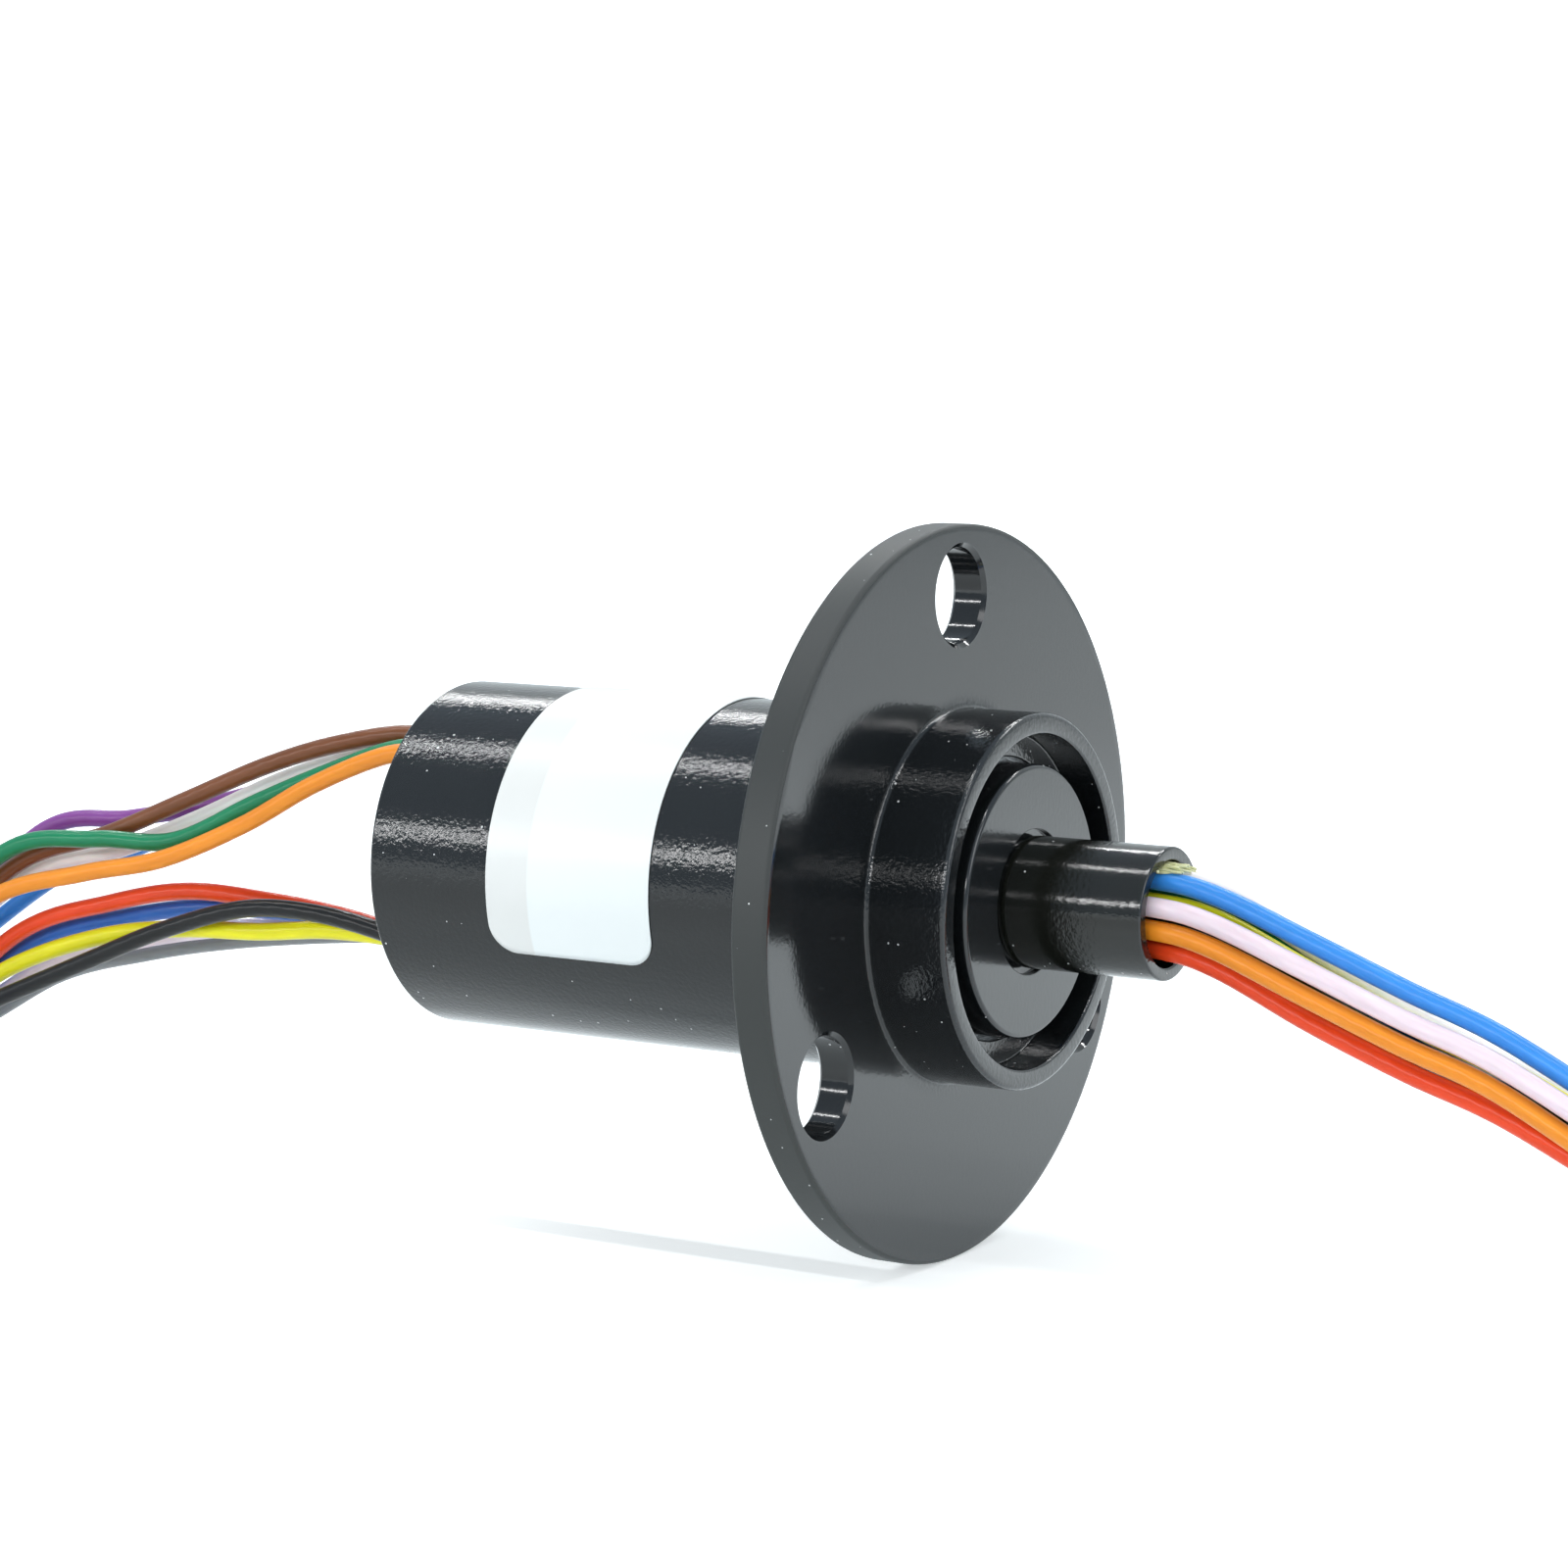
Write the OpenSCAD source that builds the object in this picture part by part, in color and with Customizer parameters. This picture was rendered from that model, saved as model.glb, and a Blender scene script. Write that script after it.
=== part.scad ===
// Capsule slip ring with a mounting flange, twelve circuits and loose colour-coded leads.
// X runs along the rotor axis towards the rotor leads and Z is up. The origin is on the
// axis, in the plane of the flange's seat, with the barrel behind it at negative X.

/* [Flange] */
// Outer diameter of the mounting flange
flange_d = 44.5; // [40:0.5:60]
// Thickness of the flange
flange_t = 2.3; // [1.6:0.1:4]
// Distance from the flange's rim to the middle of each bolt hole
bolt_edge = 4.25; // [3.5:0.05:6]
// Diameter of each bolt hole
bolt_hole_d = 5.8; // [3:0.1:6]
// Number of bolt holes, the first one at the top
bolt_count = 3; // [2:1:6]
// Chamfer round each bolt hole
hole_chamfer = 0.25; // [0.1:0.05:0.4]

/* [Housing] */
// Outer diameter of the barrel behind the flange
barrel_d = 22; // [20:0.1:26]
// Length of the barrel behind the flange
barrel_l = 33.7; // [30:0.1:45]
// Wall of the barrel
barrel_wall = 1.6; // [1.2:0.1:2]
// Outer diameter of the boss in front of the flange
boss_d = 22.5; // [20.5:0.1:26]
// Height of the boss above the flange
boss_h = 5.2; // [4.6:0.1:8]
// Wall of the boss round its recess
mouth_wall = 1.25; // [0.8:0.05:1.5]
// Depth of the recess, down to the lip in front of the bearing
mouth_depth = 2.4; // [1.8:0.1:3]
// Thickness of the lip
lip_t = 1.2; // [0.8:0.1:1.8]
// How far the lip reaches in over the front bearing's outer race
lip_overlap = 0.5; // [0.3:0.1:0.8]
// Step from the barrel's bore down to the front bearing's seat
seat_step = 0.4; // [0.2:0.1:0.8]
// Rounding of the moulded outer edges
edge_r = 0.3; // [0.1:0.05:0.5]
// Fillet between the boss and the flange
boss_fillet = 0.25; // [0.1:0.05:0.6]

/* [Rear cap] */
// Thickness of the rear cap's plate
cap_t = 1.8; // [1.2:0.1:2.4]
// Length of the skirt inside the barrel
skirt_l = 2; // [1.4:0.1:3]
// Wall of the skirt
skirt_t = 1.1; // [0.8:0.1:1.2]
// Wall of the cup that holds the rear bearing
cup_wall = 1; // [0.6:0.1:1.2]
// Width of each lead window
window_w = 8.4; // [8:0.1:9]
// Height of each lead window
window_h = 1.8; // [1.4:0.1:2.2]
// Gap between the brush boards' planes and the cup
cup_gap = 1.1; // [0.8:0.1:1.6]
// Distance from the boards' rear ends to the plate
board_end_gap = 0.9; // [0.5:0.1:1.2]

/* [Front bearing] */
// Section of the front bearing, from its bore to its outer face
front_section = 3; // [2.6:0.1:3.2]
// Width of the front bearing
front_w = 4; // [3:0.1:5]
// Ball diameter of the front bearing
front_ball_d = 1.6; // [1.4:0.1:1.8]
// Number of balls in the front bearing
front_ball_count = 12; // [8:1:14]

/* [Rear bearing] */
// Section of the rear bearing, from its bore to its outer face
rear_section = 1.5; // [1.3:0.1:1.7]
// Width of the rear bearing
rear_w = 2.5; // [2:0.1:3]
// Ball diameter of the rear bearing
rear_ball_d = 0.9; // [0.8:0.05:1]
// Number of balls in the rear bearing
rear_ball_count = 9; // [6:1:10]

/* [Rotor] */
// How far the rotor disc sits below the boss's rim
disc_drop = 0.25; // [0:0.05:0.6]
// Running gap round the rotor disc
disc_gap = 0.3; // [0.15:0.05:0.5]
// Running gap between the rotor disc and the front bearing's outer race
disc_back_gap = 0.5; // [0.3:0.1:0.8]
// Wall of the hollow core that carries the contact rings
core_wall = 1.05; // [0.8:0.05:1.2]
// Wall of the lead tube, whose bore is that of the core
tube_wall = 0.8; // [0.6:0.05:1]
// Width of the groove round the root of the lead tube
tube_root_gap = 0.4; // [0.2:0.05:0.6]
// How far the lead tube stands out of the boss
tube_reach = 8.8; // [4:0.1:10]
// Length of the lead tube held in the rotor
tube_seat_l = 5.2; // [3:0.1:6]
// Thickness of the circlip behind the front bearing
clip_t = 0.5; // [0.3:0.05:0.8]
// Length of the collar behind the contact rings
collar_l = 1.5; // [1:0.1:2]

/* [Contacts] */
// Number of circuits
circuits = 12; // [6:2:12]
// Width of a contact ring
ring_w = 1; // [0.8:0.05:1.1]
// Radial thickness of a contact ring
ring_t = 1.1; // [0.9:0.05:1.3]
// Width at the bottom of a contact ring's groove
groove_w = 0.5; // [0.4:0.05:0.6]
// Depth of a contact ring's groove
groove_depth = 0.5; // [0.3:0.05:0.6]
// How far the insulating spacers stand above the rings
spacer_step = 0.3; // [0.1:0.05:0.5]
// Diameter of a brush wire
brush_d = 0.3; // [0.2:0.02:0.34]
// Gap between a brush wire and the bottom of its groove
brush_gap = 0.05; // [0.03:0.01:0.1]
// How far a brush wire runs past the rotor axis
brush_overrun = 1.2; // [0.6:0.1:2]

/* [Brush boards] */
// Thickness of a brush board
board_t = 1; // [0.8:0.1:1.2]
// Gap between a brush board's corners and the barrel's bore
board_edge_gap = 0.42; // [0.3:0.02:0.6]
// Distance from a brush board's outer face to the barrel's bore
board_cover = 2.3; // [2.1:0.1:2.8]
// Gap between a brush board and the spacers
board_gap = 0.5; // [0.4:0.05:0.6]
// Depth of the pocket that takes each board's front end
pocket_depth = 1; // [0.6:0.1:1.4]
// Length of the ring behind the front bearing
retainer_l = 2.1; // [1.8:0.1:2.6]

/* [Label] */
// Length of the label along the barrel
label_l = 11.9; // [8:0.1:16]
// Distance from the barrel's rear end to the label
label_inset = 9; // [4:0.1:12]
// Thickness of the label
label_t = 0.1; // [0.05:0.01:0.2]
// How far the label's long edges lie below the axis
label_drop = 5; // [0:0.1:8]
// Corner radius of the label
label_corner = 1.5; // [0.5:0.1:2.5]

/* [Clearances] */
// Radial gap where one fixed piece slides into another
slide_gap = 0.05; // [0.02:0.01:0.1]
// Radial gap between each contact ring or spacer and the core
core_gap = 0.02; // [0.01:0.01:0.05]
// Radial gap between the balls and their races
ball_gap = 0.03; // [0.02:0.01:0.04]
// Gap between each ball and its cage pocket
cage_gap = 0.08; // [0.05:0.01:0.12]

/* [Leads] */
// Outside diameter of a lead
lead_d = 1.2; // [1:0.05:1.25]
// Gap between neighbouring leads in the hanks
lead_gap = 0.1; // [0.05:0.01:0.2]
// Length of the straight runs of a hank
hank_run = 31; // [24:0.5:40]
// Radius of a hank's ends at the middle of its turns
hank_r = 9.5; // [8:0.5:14]
// Thickness of a hank tie
tie_t = 0.4; // [0.3:0.05:0.6]
// Width of a hank tie
tie_w = 2.4; // [1.6:0.1:4]

/* [Hidden] */
$fn = 96;
// Housing
barrel_r = barrel_d / 2;
barrel_bore_r = barrel_r - barrel_wall;
bolt_circle_r = flange_d / 2 - bolt_edge;
mouth_r = boss_d / 2 - mouth_wall;
boss_front_x = flange_t + boss_h;
lip_front_x = boss_front_x - mouth_depth;
lip_back_x = lip_front_x - lip_t;
floor_z = -flange_d / 2;
// Front bearing and the ring behind it
front_od = 2 * (barrel_bore_r - seat_step);
front_bore = front_od - 2 * front_section;
lip_bore_r = front_od / 2 - lip_overlap;
front_x = lip_back_x - front_w;
retainer_x = front_x - retainer_l;
retainer_land = 0.7;
retainer_relief = 0.3;
retainer_clear = 0.4;
// Brush boards, which leave room for the spacers between them
board_out_z = barrel_bore_r - board_cover;
board_mid_z = board_out_z - board_t / 2;
board_in_z = board_out_z - board_t;
board_w = 2 * sqrt(pow(barrel_bore_r - board_edge_gap, 2) - pow(board_out_z, 2));
// Rear cap and rear bearing
cap_x = -barrel_l + cap_t;
plug_r = barrel_bore_r - slide_gap;
cup_r = board_in_z - cup_gap;
rear_od = 2 * (cup_r - cup_wall);
rear_bore = rear_od - 2 * rear_section;
rear_seat_rise = 0.2;
rear_x = cap_x + rear_seat_rise;
rear_front_x = rear_x + rear_w;
cup_relief = 0.3;
cup_relief_step = 0.5;
// Contact rings and spacers on the hollow core
spacer_r = board_in_z - board_gap;
ring_r = spacer_r - spacer_step;
groove_r = ring_r - groove_depth;
groove_flare = 0.15;
core_r = ring_r - ring_t;
lead_bore_r = core_r - core_wall;
lead_hole_d = 1;
// Rotor
disc_r = lip_bore_r - disc_gap;
disc_front_x = boss_front_x - disc_drop;
disc_back_x = lip_back_x + disc_back_gap;
neck_step = 0.7;
clip_play = 0.05;
clip_groove_depth = 0.3;
clip_height = 0.5;
clip_groove_r = spacer_r - clip_groove_depth;
clip_r = front_bore / 2 + clip_height;
clip_arc = 320;
rear_shoulder = 0.35;
tube_r = lead_bore_r + tube_wall;
tube_seat_step = 0.3;
tube_seat_r = tube_r - tube_seat_step;
tube_seat_x = disc_front_x - tube_seat_l;
tube_front_x = boss_front_x + tube_reach;
tube_edge = 0.15;
tube_root_depth = 0.4;
potting_rise = 0.95;
potting_x = tube_seat_x + potting_rise;
// Contact rings share the core's length, and the spacers fill what is left
stack_setback = 4.3;
stack_front_x = front_x - stack_setback;
collar_gap = 0.9;
stack_rear_x = rear_front_x + collar_gap + collar_l;
core_floor_t = 0.8;
core_bore_x = stack_rear_x + core_floor_t;
spacer_w = (stack_front_x - stack_rear_x - circuits * ring_w) / (circuits + 1);
ring_pitch = ring_w + spacer_w;
// Brushes
board_front_x = retainer_x + pocket_depth;
board_rear_x = cap_x + board_end_gap;
brush_y = groove_r + brush_gap + brush_d / 2;
// Label
label_x = -barrel_l + label_inset;
// Hanks: the leads lie in lanes beside each other and in levels on each other
lead_pitch = lead_d + lead_gap;
lane_count = 6;
level_count = 4;
hank_w = lane_count * lead_pitch;
hank_h = level_count * lead_pitch;
hank_floor = floor_z + tie_t;
hank_close = 105;
tie_places = [0.35, 0.65];
tie_head = [3.2, 3.6, 3.4];
// Leads: eight-sided tubes with a ring about every three diameters
lead_sides = 8;
lead_ring_gap = 3.2;

// Stator leads leave the windows of the rear cap, droop and reach their hank. The stations
// lie at these distances behind the boards' rear ends.
// Each row is [colour, side, lane, heights], with side +1 for the upper window and -1
// for the lower one, and one height for each middle station.
stator_steps = [0, 3, 7, 13, 19, 26, 33, 41, 51, 61];
stator_leads = [
    ["orange", 1, 0, [6.3, 4.0, 0.9, -1.9, -3.4, -5.6, -11.6]],
    ["green", 1, 1, [6.6, 4.6, 2.2, -0.8, -1.2, -2.6, -10.4]],
    ["saddlebrown", 1, 2, [7.4, 6.4, 4.6, 1.8, -1.0, -3.6, -10.8]],
    ["white", 1, 3, [7.0, 5.4, 3.4, 0.4, -2.2, -4.4, -11.2]],
    ["purple", 1, 4, [7.0, 5.2, 3.2, 1.2, -0.2, -1.6, -9.8]],
    ["skyblue", 1, 5, [7.0, 5.6, 3.6, 1.0, -2.2, -5.0, -11.4]],
    ["black", -1, 0, [-5.4, -4.5, -4.7, -6.7, -9.5, -12.8, -17.0]],
    ["gold", -1, 1, [-5.9, -5.8, -6.4, -6.8, -8.0, -10.8, -16.4]],
    ["red", -1, 2, [-6.0, -5.0, -4.5, -4.4, -5.8, -8.4, -15.4]],
    ["blue", -1, 3, [-6.2, -5.6, -5.4, -5.7, -7.0, -9.4, -15.8]],
    ["pink", -1, 4, [-6.4, -6.4, -6.6, -7.4, -8.8, -11.2, -16.6]],
    ["gray", -1, 5, [-6.5, -6.8, -7.4, -8.4, -9.8, -12.0, -17.0]]
];
// Rotor leads leave the tube in a bundle four wide and four high without its corners,
// fan out to their lanes and reach their hank. The stations lie at these distances in
// front of the resin. Each row is [colour, bundle y, bundle z, lane, level, heights],
// the bundle places in steps of bundle_pitch.
bundle_gap = 0.15;
bundle_pitch = lead_d + bundle_gap;
rotor_steps = [0, 7, 13, 17, 23, 29, 35, 43, 51, 59];
rotor_fan = [0, 0, 0, 0.3, 0.8, 1, 1, 1, 1, 1];
rotor_leads = [
    ["skyblue", -0.5, 1.5, 1, 3, [1.4, -0.6, -2.8, -5.0, -9.2, -14.0]],
    ["pink", -1.5, 0.5, 0, 3, [0.1, -1.9, -4.1, -6.2, -10.3, -14.7]],
    ["orange", -1.5, -0.5, 0, 2, [-1.3, -3.4, -5.6, -7.7, -12.0, -16.3]],
    ["red", -0.5, -1.5, 1, 2, [-2.8, -5.2, -7.4, -9.4, -13.2, -16.8]],
    ["gold", -0.5, 0.5, 2, 3, [-0.1, -2.7, -5.0, -7.2, -11.0, -14.9]],
    ["black", -0.5, -0.5, 2, 2, [-1.5, -4.1, -6.5, -8.7, -12.6, -16.4]],
    ["white", 0.5, 1.5, 3, 3, [1.2, -1.9, -5.0, -7.4, -11.0, -14.8]],
    ["saddlebrown", 0.5, -1.5, 3, 2, [-3.1, -5.5, -7.7, -9.7, -13.2, -16.7]],
    ["green", 0.5, 0.5, 4, 3, [-0.25, -3.0, -5.8, -8.0, -11.6, -15.0]],
    ["blue", 0.5, -0.5, 4, 2, [-1.7, -4.6, -7.3, -9.5, -13.1, -16.6]],
    ["purple", 1.5, 0.5, 5, 3, [-0.2, -3.2, -6.1, -8.4, -11.8, -15.0]],
    ["gray", 1.5, -0.5, 5, 2, [-1.6, -4.7, -7.6, -9.9, -13.3, -16.6]]
];

stator_end_x = board_rear_x - stator_steps[len(stator_steps) - 1];
rotor_end_x = potting_x + rotor_steps[len(rotor_steps) - 1];

lead_numbers = [for (i = [1:12]) str(i < 10 ? "0" : "", i)];
stator_lead_nodes = [for (n = lead_numbers) str("stator_lead_", n)];
rotor_lead_nodes = [for (n = lead_numbers) str("rotor_lead_", n)];

// ---------- Shared shapes ----------

// Points of a round corner in a profile: an arc of radius r about [cx, cy].
function arc(cx, cy, r, from, to, steps = 4) =
    [for (i = [0:steps]) let (a = from + (to - from) * i / steps) [cx + r * cos(a), cy + r * sin(a)]];

// Turns a profile of [radius, x] points about the rotor axis.
module turned(profile, sweep = 360) {
    rotate([0, 90, 0]) rotate_extrude(angle = sweep) polygon(profile);
}

// A plain ring about the rotor axis, from x0 to x1.
module ring(inner_r, outer_r, x0, x1, sweep = 360) {
    turned([[inner_r, x0], [outer_r, x0], [outer_r, x1], [inner_r, x1]], sweep);
}

// A box that spans y0..y1 and z0..z1 from x0 to x1.
module span(x0, x1, y0, y1, z0, z1) {
    translate([x0, y0, z0]) cube([x1 - x0, y1 - y0, z1 - z0]);
}

// ---------- Housing, cap and label ----------

// One moulding: barrel, flange and boss, bored from the rear up to the lip.
module housing() {
    boss_r = boss_d / 2;
    rim_r = flange_d / 2;
    profile = concat(
        [[barrel_bore_r, -barrel_l]],
        arc(barrel_r - edge_r, -barrel_l + edge_r, edge_r, -90, 0),
        [[barrel_r, 0]],
        arc(rim_r - edge_r, edge_r, edge_r, -90, 0),
        arc(rim_r - edge_r, flange_t - edge_r, edge_r, 0, 90),
        arc(boss_r + boss_fillet, flange_t + boss_fillet, boss_fillet, 270, 180),
        arc(boss_r - edge_r, boss_front_x - edge_r, edge_r, 0, 90),
        arc(mouth_r + edge_r / 2, boss_front_x - edge_r / 2, edge_r / 2, 90, 180, 3),
        [[mouth_r, lip_front_x],
         [lip_bore_r, lip_front_x],
         [lip_bore_r, lip_back_x],
         [front_od / 2, lip_back_x],
         [front_od / 2, front_x],
         [barrel_bore_r, front_x]]
    );
    color("#1b1c1e") difference() {
        turned(profile);
        bolt_holes();
    }
}

// Through holes in the flange with a small chamfer on both faces.
module bolt_holes() {
    hole_r = bolt_hole_d / 2;
    for (i = [0:bolt_count - 1])
        rotate([i * 360 / bolt_count, 0, 0])
            translate([0, 0, bolt_circle_r])
                rotate([0, 90, 0]) {
                    translate([0, 0, -1]) cylinder(r = hole_r, h = flange_t + 2);
                    cylinder(r1 = hole_r + hole_chamfer, r2 = hole_r, h = hole_chamfer);
                    translate([0, 0, flange_t - hole_chamfer])
                        cylinder(r1 = hole_r, r2 = hole_r + hole_chamfer, h = hole_chamfer);
                }
}

// Plug in the barrel's rear end, with the rear bearing's cup and two lead windows.
module rear_cap() {
    relief_r = rear_od / 2 - cup_relief_step;
    profile = concat(
        [[0, -barrel_l]],
        arc(plug_r - edge_r / 2, -barrel_l + edge_r / 2, edge_r / 2, -90, 0),
        [[plug_r, cap_x + skirt_l],
         [plug_r - skirt_t, cap_x + skirt_l],
         [plug_r - skirt_t, cap_x],
         [cup_r, cap_x],
         [cup_r, rear_front_x],
         [rear_od / 2, rear_front_x],
         [rear_od / 2, rear_x],
         [relief_r, rear_x],
         [relief_r, rear_x - cup_relief],
         [0, rear_x - cup_relief]]
    );
    color("#1b1c1e") difference() {
        turned(profile);
        for (side = [-1, 1]) {
            window_z = side * board_mid_z;
            span(-barrel_l - 1, cap_x + 1, -window_w / 2, window_w / 2,
                 window_z - window_h / 2, window_z + window_h / 2);
            board_slot(cap_x, cap_x + skirt_l + 1, side);
        }
    }
}

// Space for one board's end, with the sliding gap round its edges.
module board_slot(x0, x1, side) {
    half_w = board_w / 2 + slide_gap;
    half_t = board_t / 2 + slide_gap;
    span(x0, x1, -half_w, half_w, side * board_mid_z - half_t, side * board_mid_z + half_t);
}

// Thin label wrapped over the top of the barrel, with rounded corners and bare of print.
module label() {
    color("#eef2f6") intersection() {
        ring(barrel_r, barrel_r + label_t, label_x, label_x + label_l);
        translate([label_x, barrel_d, -label_drop])
            rotate([90, 0, 0])
                linear_extrude(height = 2 * barrel_d)
                    round_sheet(label_l, barrel_d, label_corner);
    }
}

// A flat rectangle from the origin with round corners.
module round_sheet(w, h, r) {
    polygon(concat(
        arc(r, r, r, 180, 270, 8),
        arc(w - r, r, r, 270, 360, 8),
        arc(w - r, h - r, r, 0, 90, 8),
        arc(r, h - r, r, 90, 180, 8)
    ));
}

// Ring behind the front bearing: it holds the outer race and the boards' front ends.
module bearing_retainer() {
    land_r = front_od / 2 - retainer_land;
    bore_r = clip_r + retainer_clear;
    color("#2a2b2d") difference() {
        turned([
            [bore_r, retainer_x],
            [plug_r, retainer_x],
            [plug_r, front_x],
            [land_r, front_x],
            [land_r, front_x - retainer_relief],
            [bore_r, front_x - retainer_relief]
        ]);
        for (side = [-1, 1]) board_slot(retainer_x - 1, retainer_x + pocket_depth, side);
    }
}

// ---------- Ball bearings ----------
// A bearing is [bore, outer diameter, width, ball diameter, ball count].

front_bearing = [front_bore, front_od, front_w, front_ball_d, front_ball_count];
rear_bearing = [rear_bore, rear_od, rear_w, rear_ball_d, rear_ball_count];

function pitch_r(b) = (b[0] + b[1]) / 4;
function land_offset(b) = 0.4 * b[3];

// Section of the ball track: a circle a little larger than the ball.
module track(b) {
    translate([pitch_r(b), b[2] / 2]) circle(r = b[3] / 2 + ball_gap);
}

module race(b, x, inner_r, outer_r) {
    translate([x, 0, 0])
        rotate([0, 90, 0])
            rotate_extrude() difference() {
                translate([inner_r, 0]) square([outer_r - inner_r, b[2]]);
                track(b);
            }
}

module outer_race(b, x) {
    color("silver") race(b, x, pitch_r(b) + land_offset(b), b[1] / 2);
}

module inner_race(b, x) {
    color("silver") race(b, x, b[0] / 2, pitch_r(b) - land_offset(b));
}

module balls(b, x) {
    color("gainsboro")
        for (i = [0:b[4] - 1])
            rotate([i * 360 / b[4], 0, 0])
                translate([x + b[2] / 2, 0, pitch_r(b)]) sphere(r = b[3] / 2);
}

// Cage: a thin ring with one round pocket for each ball.
module cage(b, x) {
    half_t = 0.2 * b[3];
    half_l = 0.75 * b[3];
    pocket_r = b[3] / 2 + cage_gap;
    mid_x = x + b[2] / 2;
    color("darkgoldenrod") difference() {
        ring(pitch_r(b) - half_t, pitch_r(b) + half_t, mid_x - half_l, mid_x + half_l);
        for (i = [0:b[4] - 1])
            rotate([i * 360 / b[4], 0, 0])
                translate([mid_x, 0, pitch_r(b) - b[3]]) cylinder(r = pocket_r, h = 2 * b[3]);
    }
}

// Two thin shields set in the outer race, clear of the inner one.
module shields(b, x) {
    shield_t = 0.06 * b[2];
    inset = 0.04 * b[2];
    inner_r = pitch_r(b) - land_offset(b) + 0.1;
    outer_r = pitch_r(b) + land_offset(b);
    color("lightgray") {
        ring(inner_r, outer_r, x + inset, x + inset + shield_t);
        ring(inner_r, outer_r, x + b[2] - inset - shield_t, x + b[2] - inset);
    }
}

// ---------- Rotor ----------

// One moulding: disc, bearing journals and the hollow core under the contact rings.
module rotor_hub() {
    neck_r = front_bore / 2 + neck_step;
    shoulder_r = rear_bore / 2 + rear_shoulder;
    clip_back_x = front_x - clip_t - clip_play;
    profile = concat(
        [[tube_r + tube_root_gap, disc_front_x]],
        arc(disc_r - edge_r, disc_front_x - edge_r, edge_r, 90, 0),
        [[disc_r, disc_back_x],
         [neck_r, disc_back_x],
         [neck_r, lip_back_x],
         [front_bore / 2, lip_back_x],
         [front_bore / 2, front_x],
         [clip_groove_r, front_x],
         [clip_groove_r, clip_back_x],
         [spacer_r, clip_back_x],
         [spacer_r, stack_front_x],
         [core_r, stack_front_x],
         [core_r, stack_rear_x - collar_l],
         [shoulder_r, stack_rear_x - collar_l],
         [shoulder_r, rear_front_x],
         [rear_bore / 2, rear_front_x],
         [rear_bore / 2, rear_x],
         [0, rear_x],
         [0, core_bore_x],
         [lead_bore_r, core_bore_x],
         [lead_bore_r, tube_seat_x],
         [tube_seat_r, tube_seat_x],
         [tube_seat_r, disc_front_x - tube_root_depth],
         [tube_r + tube_root_gap, disc_front_x - tube_root_depth]]
    );
    color("#202123") difference() {
        turned(profile);
        for (k = [0:circuits - 1])
            rotate([k * 360 / circuits, 0, 0])
                translate([ring_x(k), 0, 0]) cylinder(d = lead_hole_d, h = 2 * core_r);
    }
}

module rotor_circlip() {
    color("dimgray") ring(clip_groove_r + core_gap, clip_r, front_x - clip_t, front_x, clip_arc);
}

// Middle of contact ring k, counted from the front.
function ring_x(k) = stack_front_x - spacer_w - ring_w / 2 - k * ring_pitch;

// A contact ring with a flared groove for its brush wires.
module contact_ring(x) {
    inner_r = core_r + core_gap;
    half_w = ring_w / 2;
    turned([
        [inner_r, x - half_w],
        [ring_r, x - half_w],
        [ring_r, x - groove_w / 2 - groove_flare],
        [groove_r, x - groove_w / 2],
        [groove_r, x + groove_w / 2],
        [ring_r, x + groove_w / 2 + groove_flare],
        [ring_r, x + half_w],
        [inner_r, x + half_w]
    ]);
}

// The rings of every second circuit, from the first one on.
module contact_rings(first) {
    color("gold") for (k = [first:2:circuits - 1]) contact_ring(ring_x(k));
}

module ring_spacers() {
    color("#8c2f23") for (k = [0:circuits]) {
        x1 = stack_front_x - k * ring_pitch;
        ring(core_r + core_gap, spacer_r, x1 - spacer_w, x1);
    }
}

// Collar that closes the stack of rings and spacers.
module stack_collar() {
    color("#2a2b2d") ring(core_r + core_gap, ring_r, stack_rear_x - collar_l, stack_rear_x);
}

// Thin tube that the rotor leads come out of, a little slimmer where the hub holds it.
module lead_tube() {
    profile = concat(
        [[lead_bore_r, tube_seat_x],
         [tube_seat_r, tube_seat_x],
         [tube_seat_r, disc_front_x],
         [tube_r, disc_front_x]],
        arc(tube_r - tube_edge, tube_front_x - tube_edge, tube_edge, 0, 90),
        arc(lead_bore_r + tube_edge, tube_front_x - tube_edge, tube_edge, 90, 180)
    );
    color("#1b1c1e") turned(profile);
}

// Resin that fills the hollow core up to the root of the tube.
module rotor_potting() {
    color("#3a2c20") translate([core_bore_x, 0, 0])
        rotate([0, 90, 0]) cylinder(r = lead_bore_r, h = potting_x - core_bore_x);
}

// ---------- Brushes ----------

module brush_board(side) {
    color("darkgreen") span(board_rear_x, board_front_x, -board_w / 2, board_w / 2,
                            side * board_mid_z - board_t / 2, side * board_mid_z + board_t / 2);
}

// Pairs of wires from one board that straddle every second contact ring.
module brush_wires(side, first) {
    length = board_in_z + brush_overrun;
    color("khaki")
        for (k = [first:2:circuits - 1])
            for (y = [-brush_y, brush_y])
                translate([ring_x(k), y, side > 0 ? -brush_overrun : -board_in_z])
                    cylinder(d = brush_d, h = length);
}

// ---------- Leads ----------

function lane_y(lane) = (lane - (lane_count - 1) / 2) * lead_pitch;
function level_z(level) = hank_floor + (level + 0.5) * lead_pitch;

// Stations of one stator lead. Upper leads join the hank one level above lower ones.
function stator_route(row) =
    let (y = lane_y(row[2]),
         z = row[1] * board_mid_z,
         heights = concat([z, z], row[3], [level_z(row[1] > 0 ? 3 : 2)]))
    [for (i = [0:len(stator_steps) - 1]) [board_rear_x - stator_steps[i], y, heights[i]]];

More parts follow.
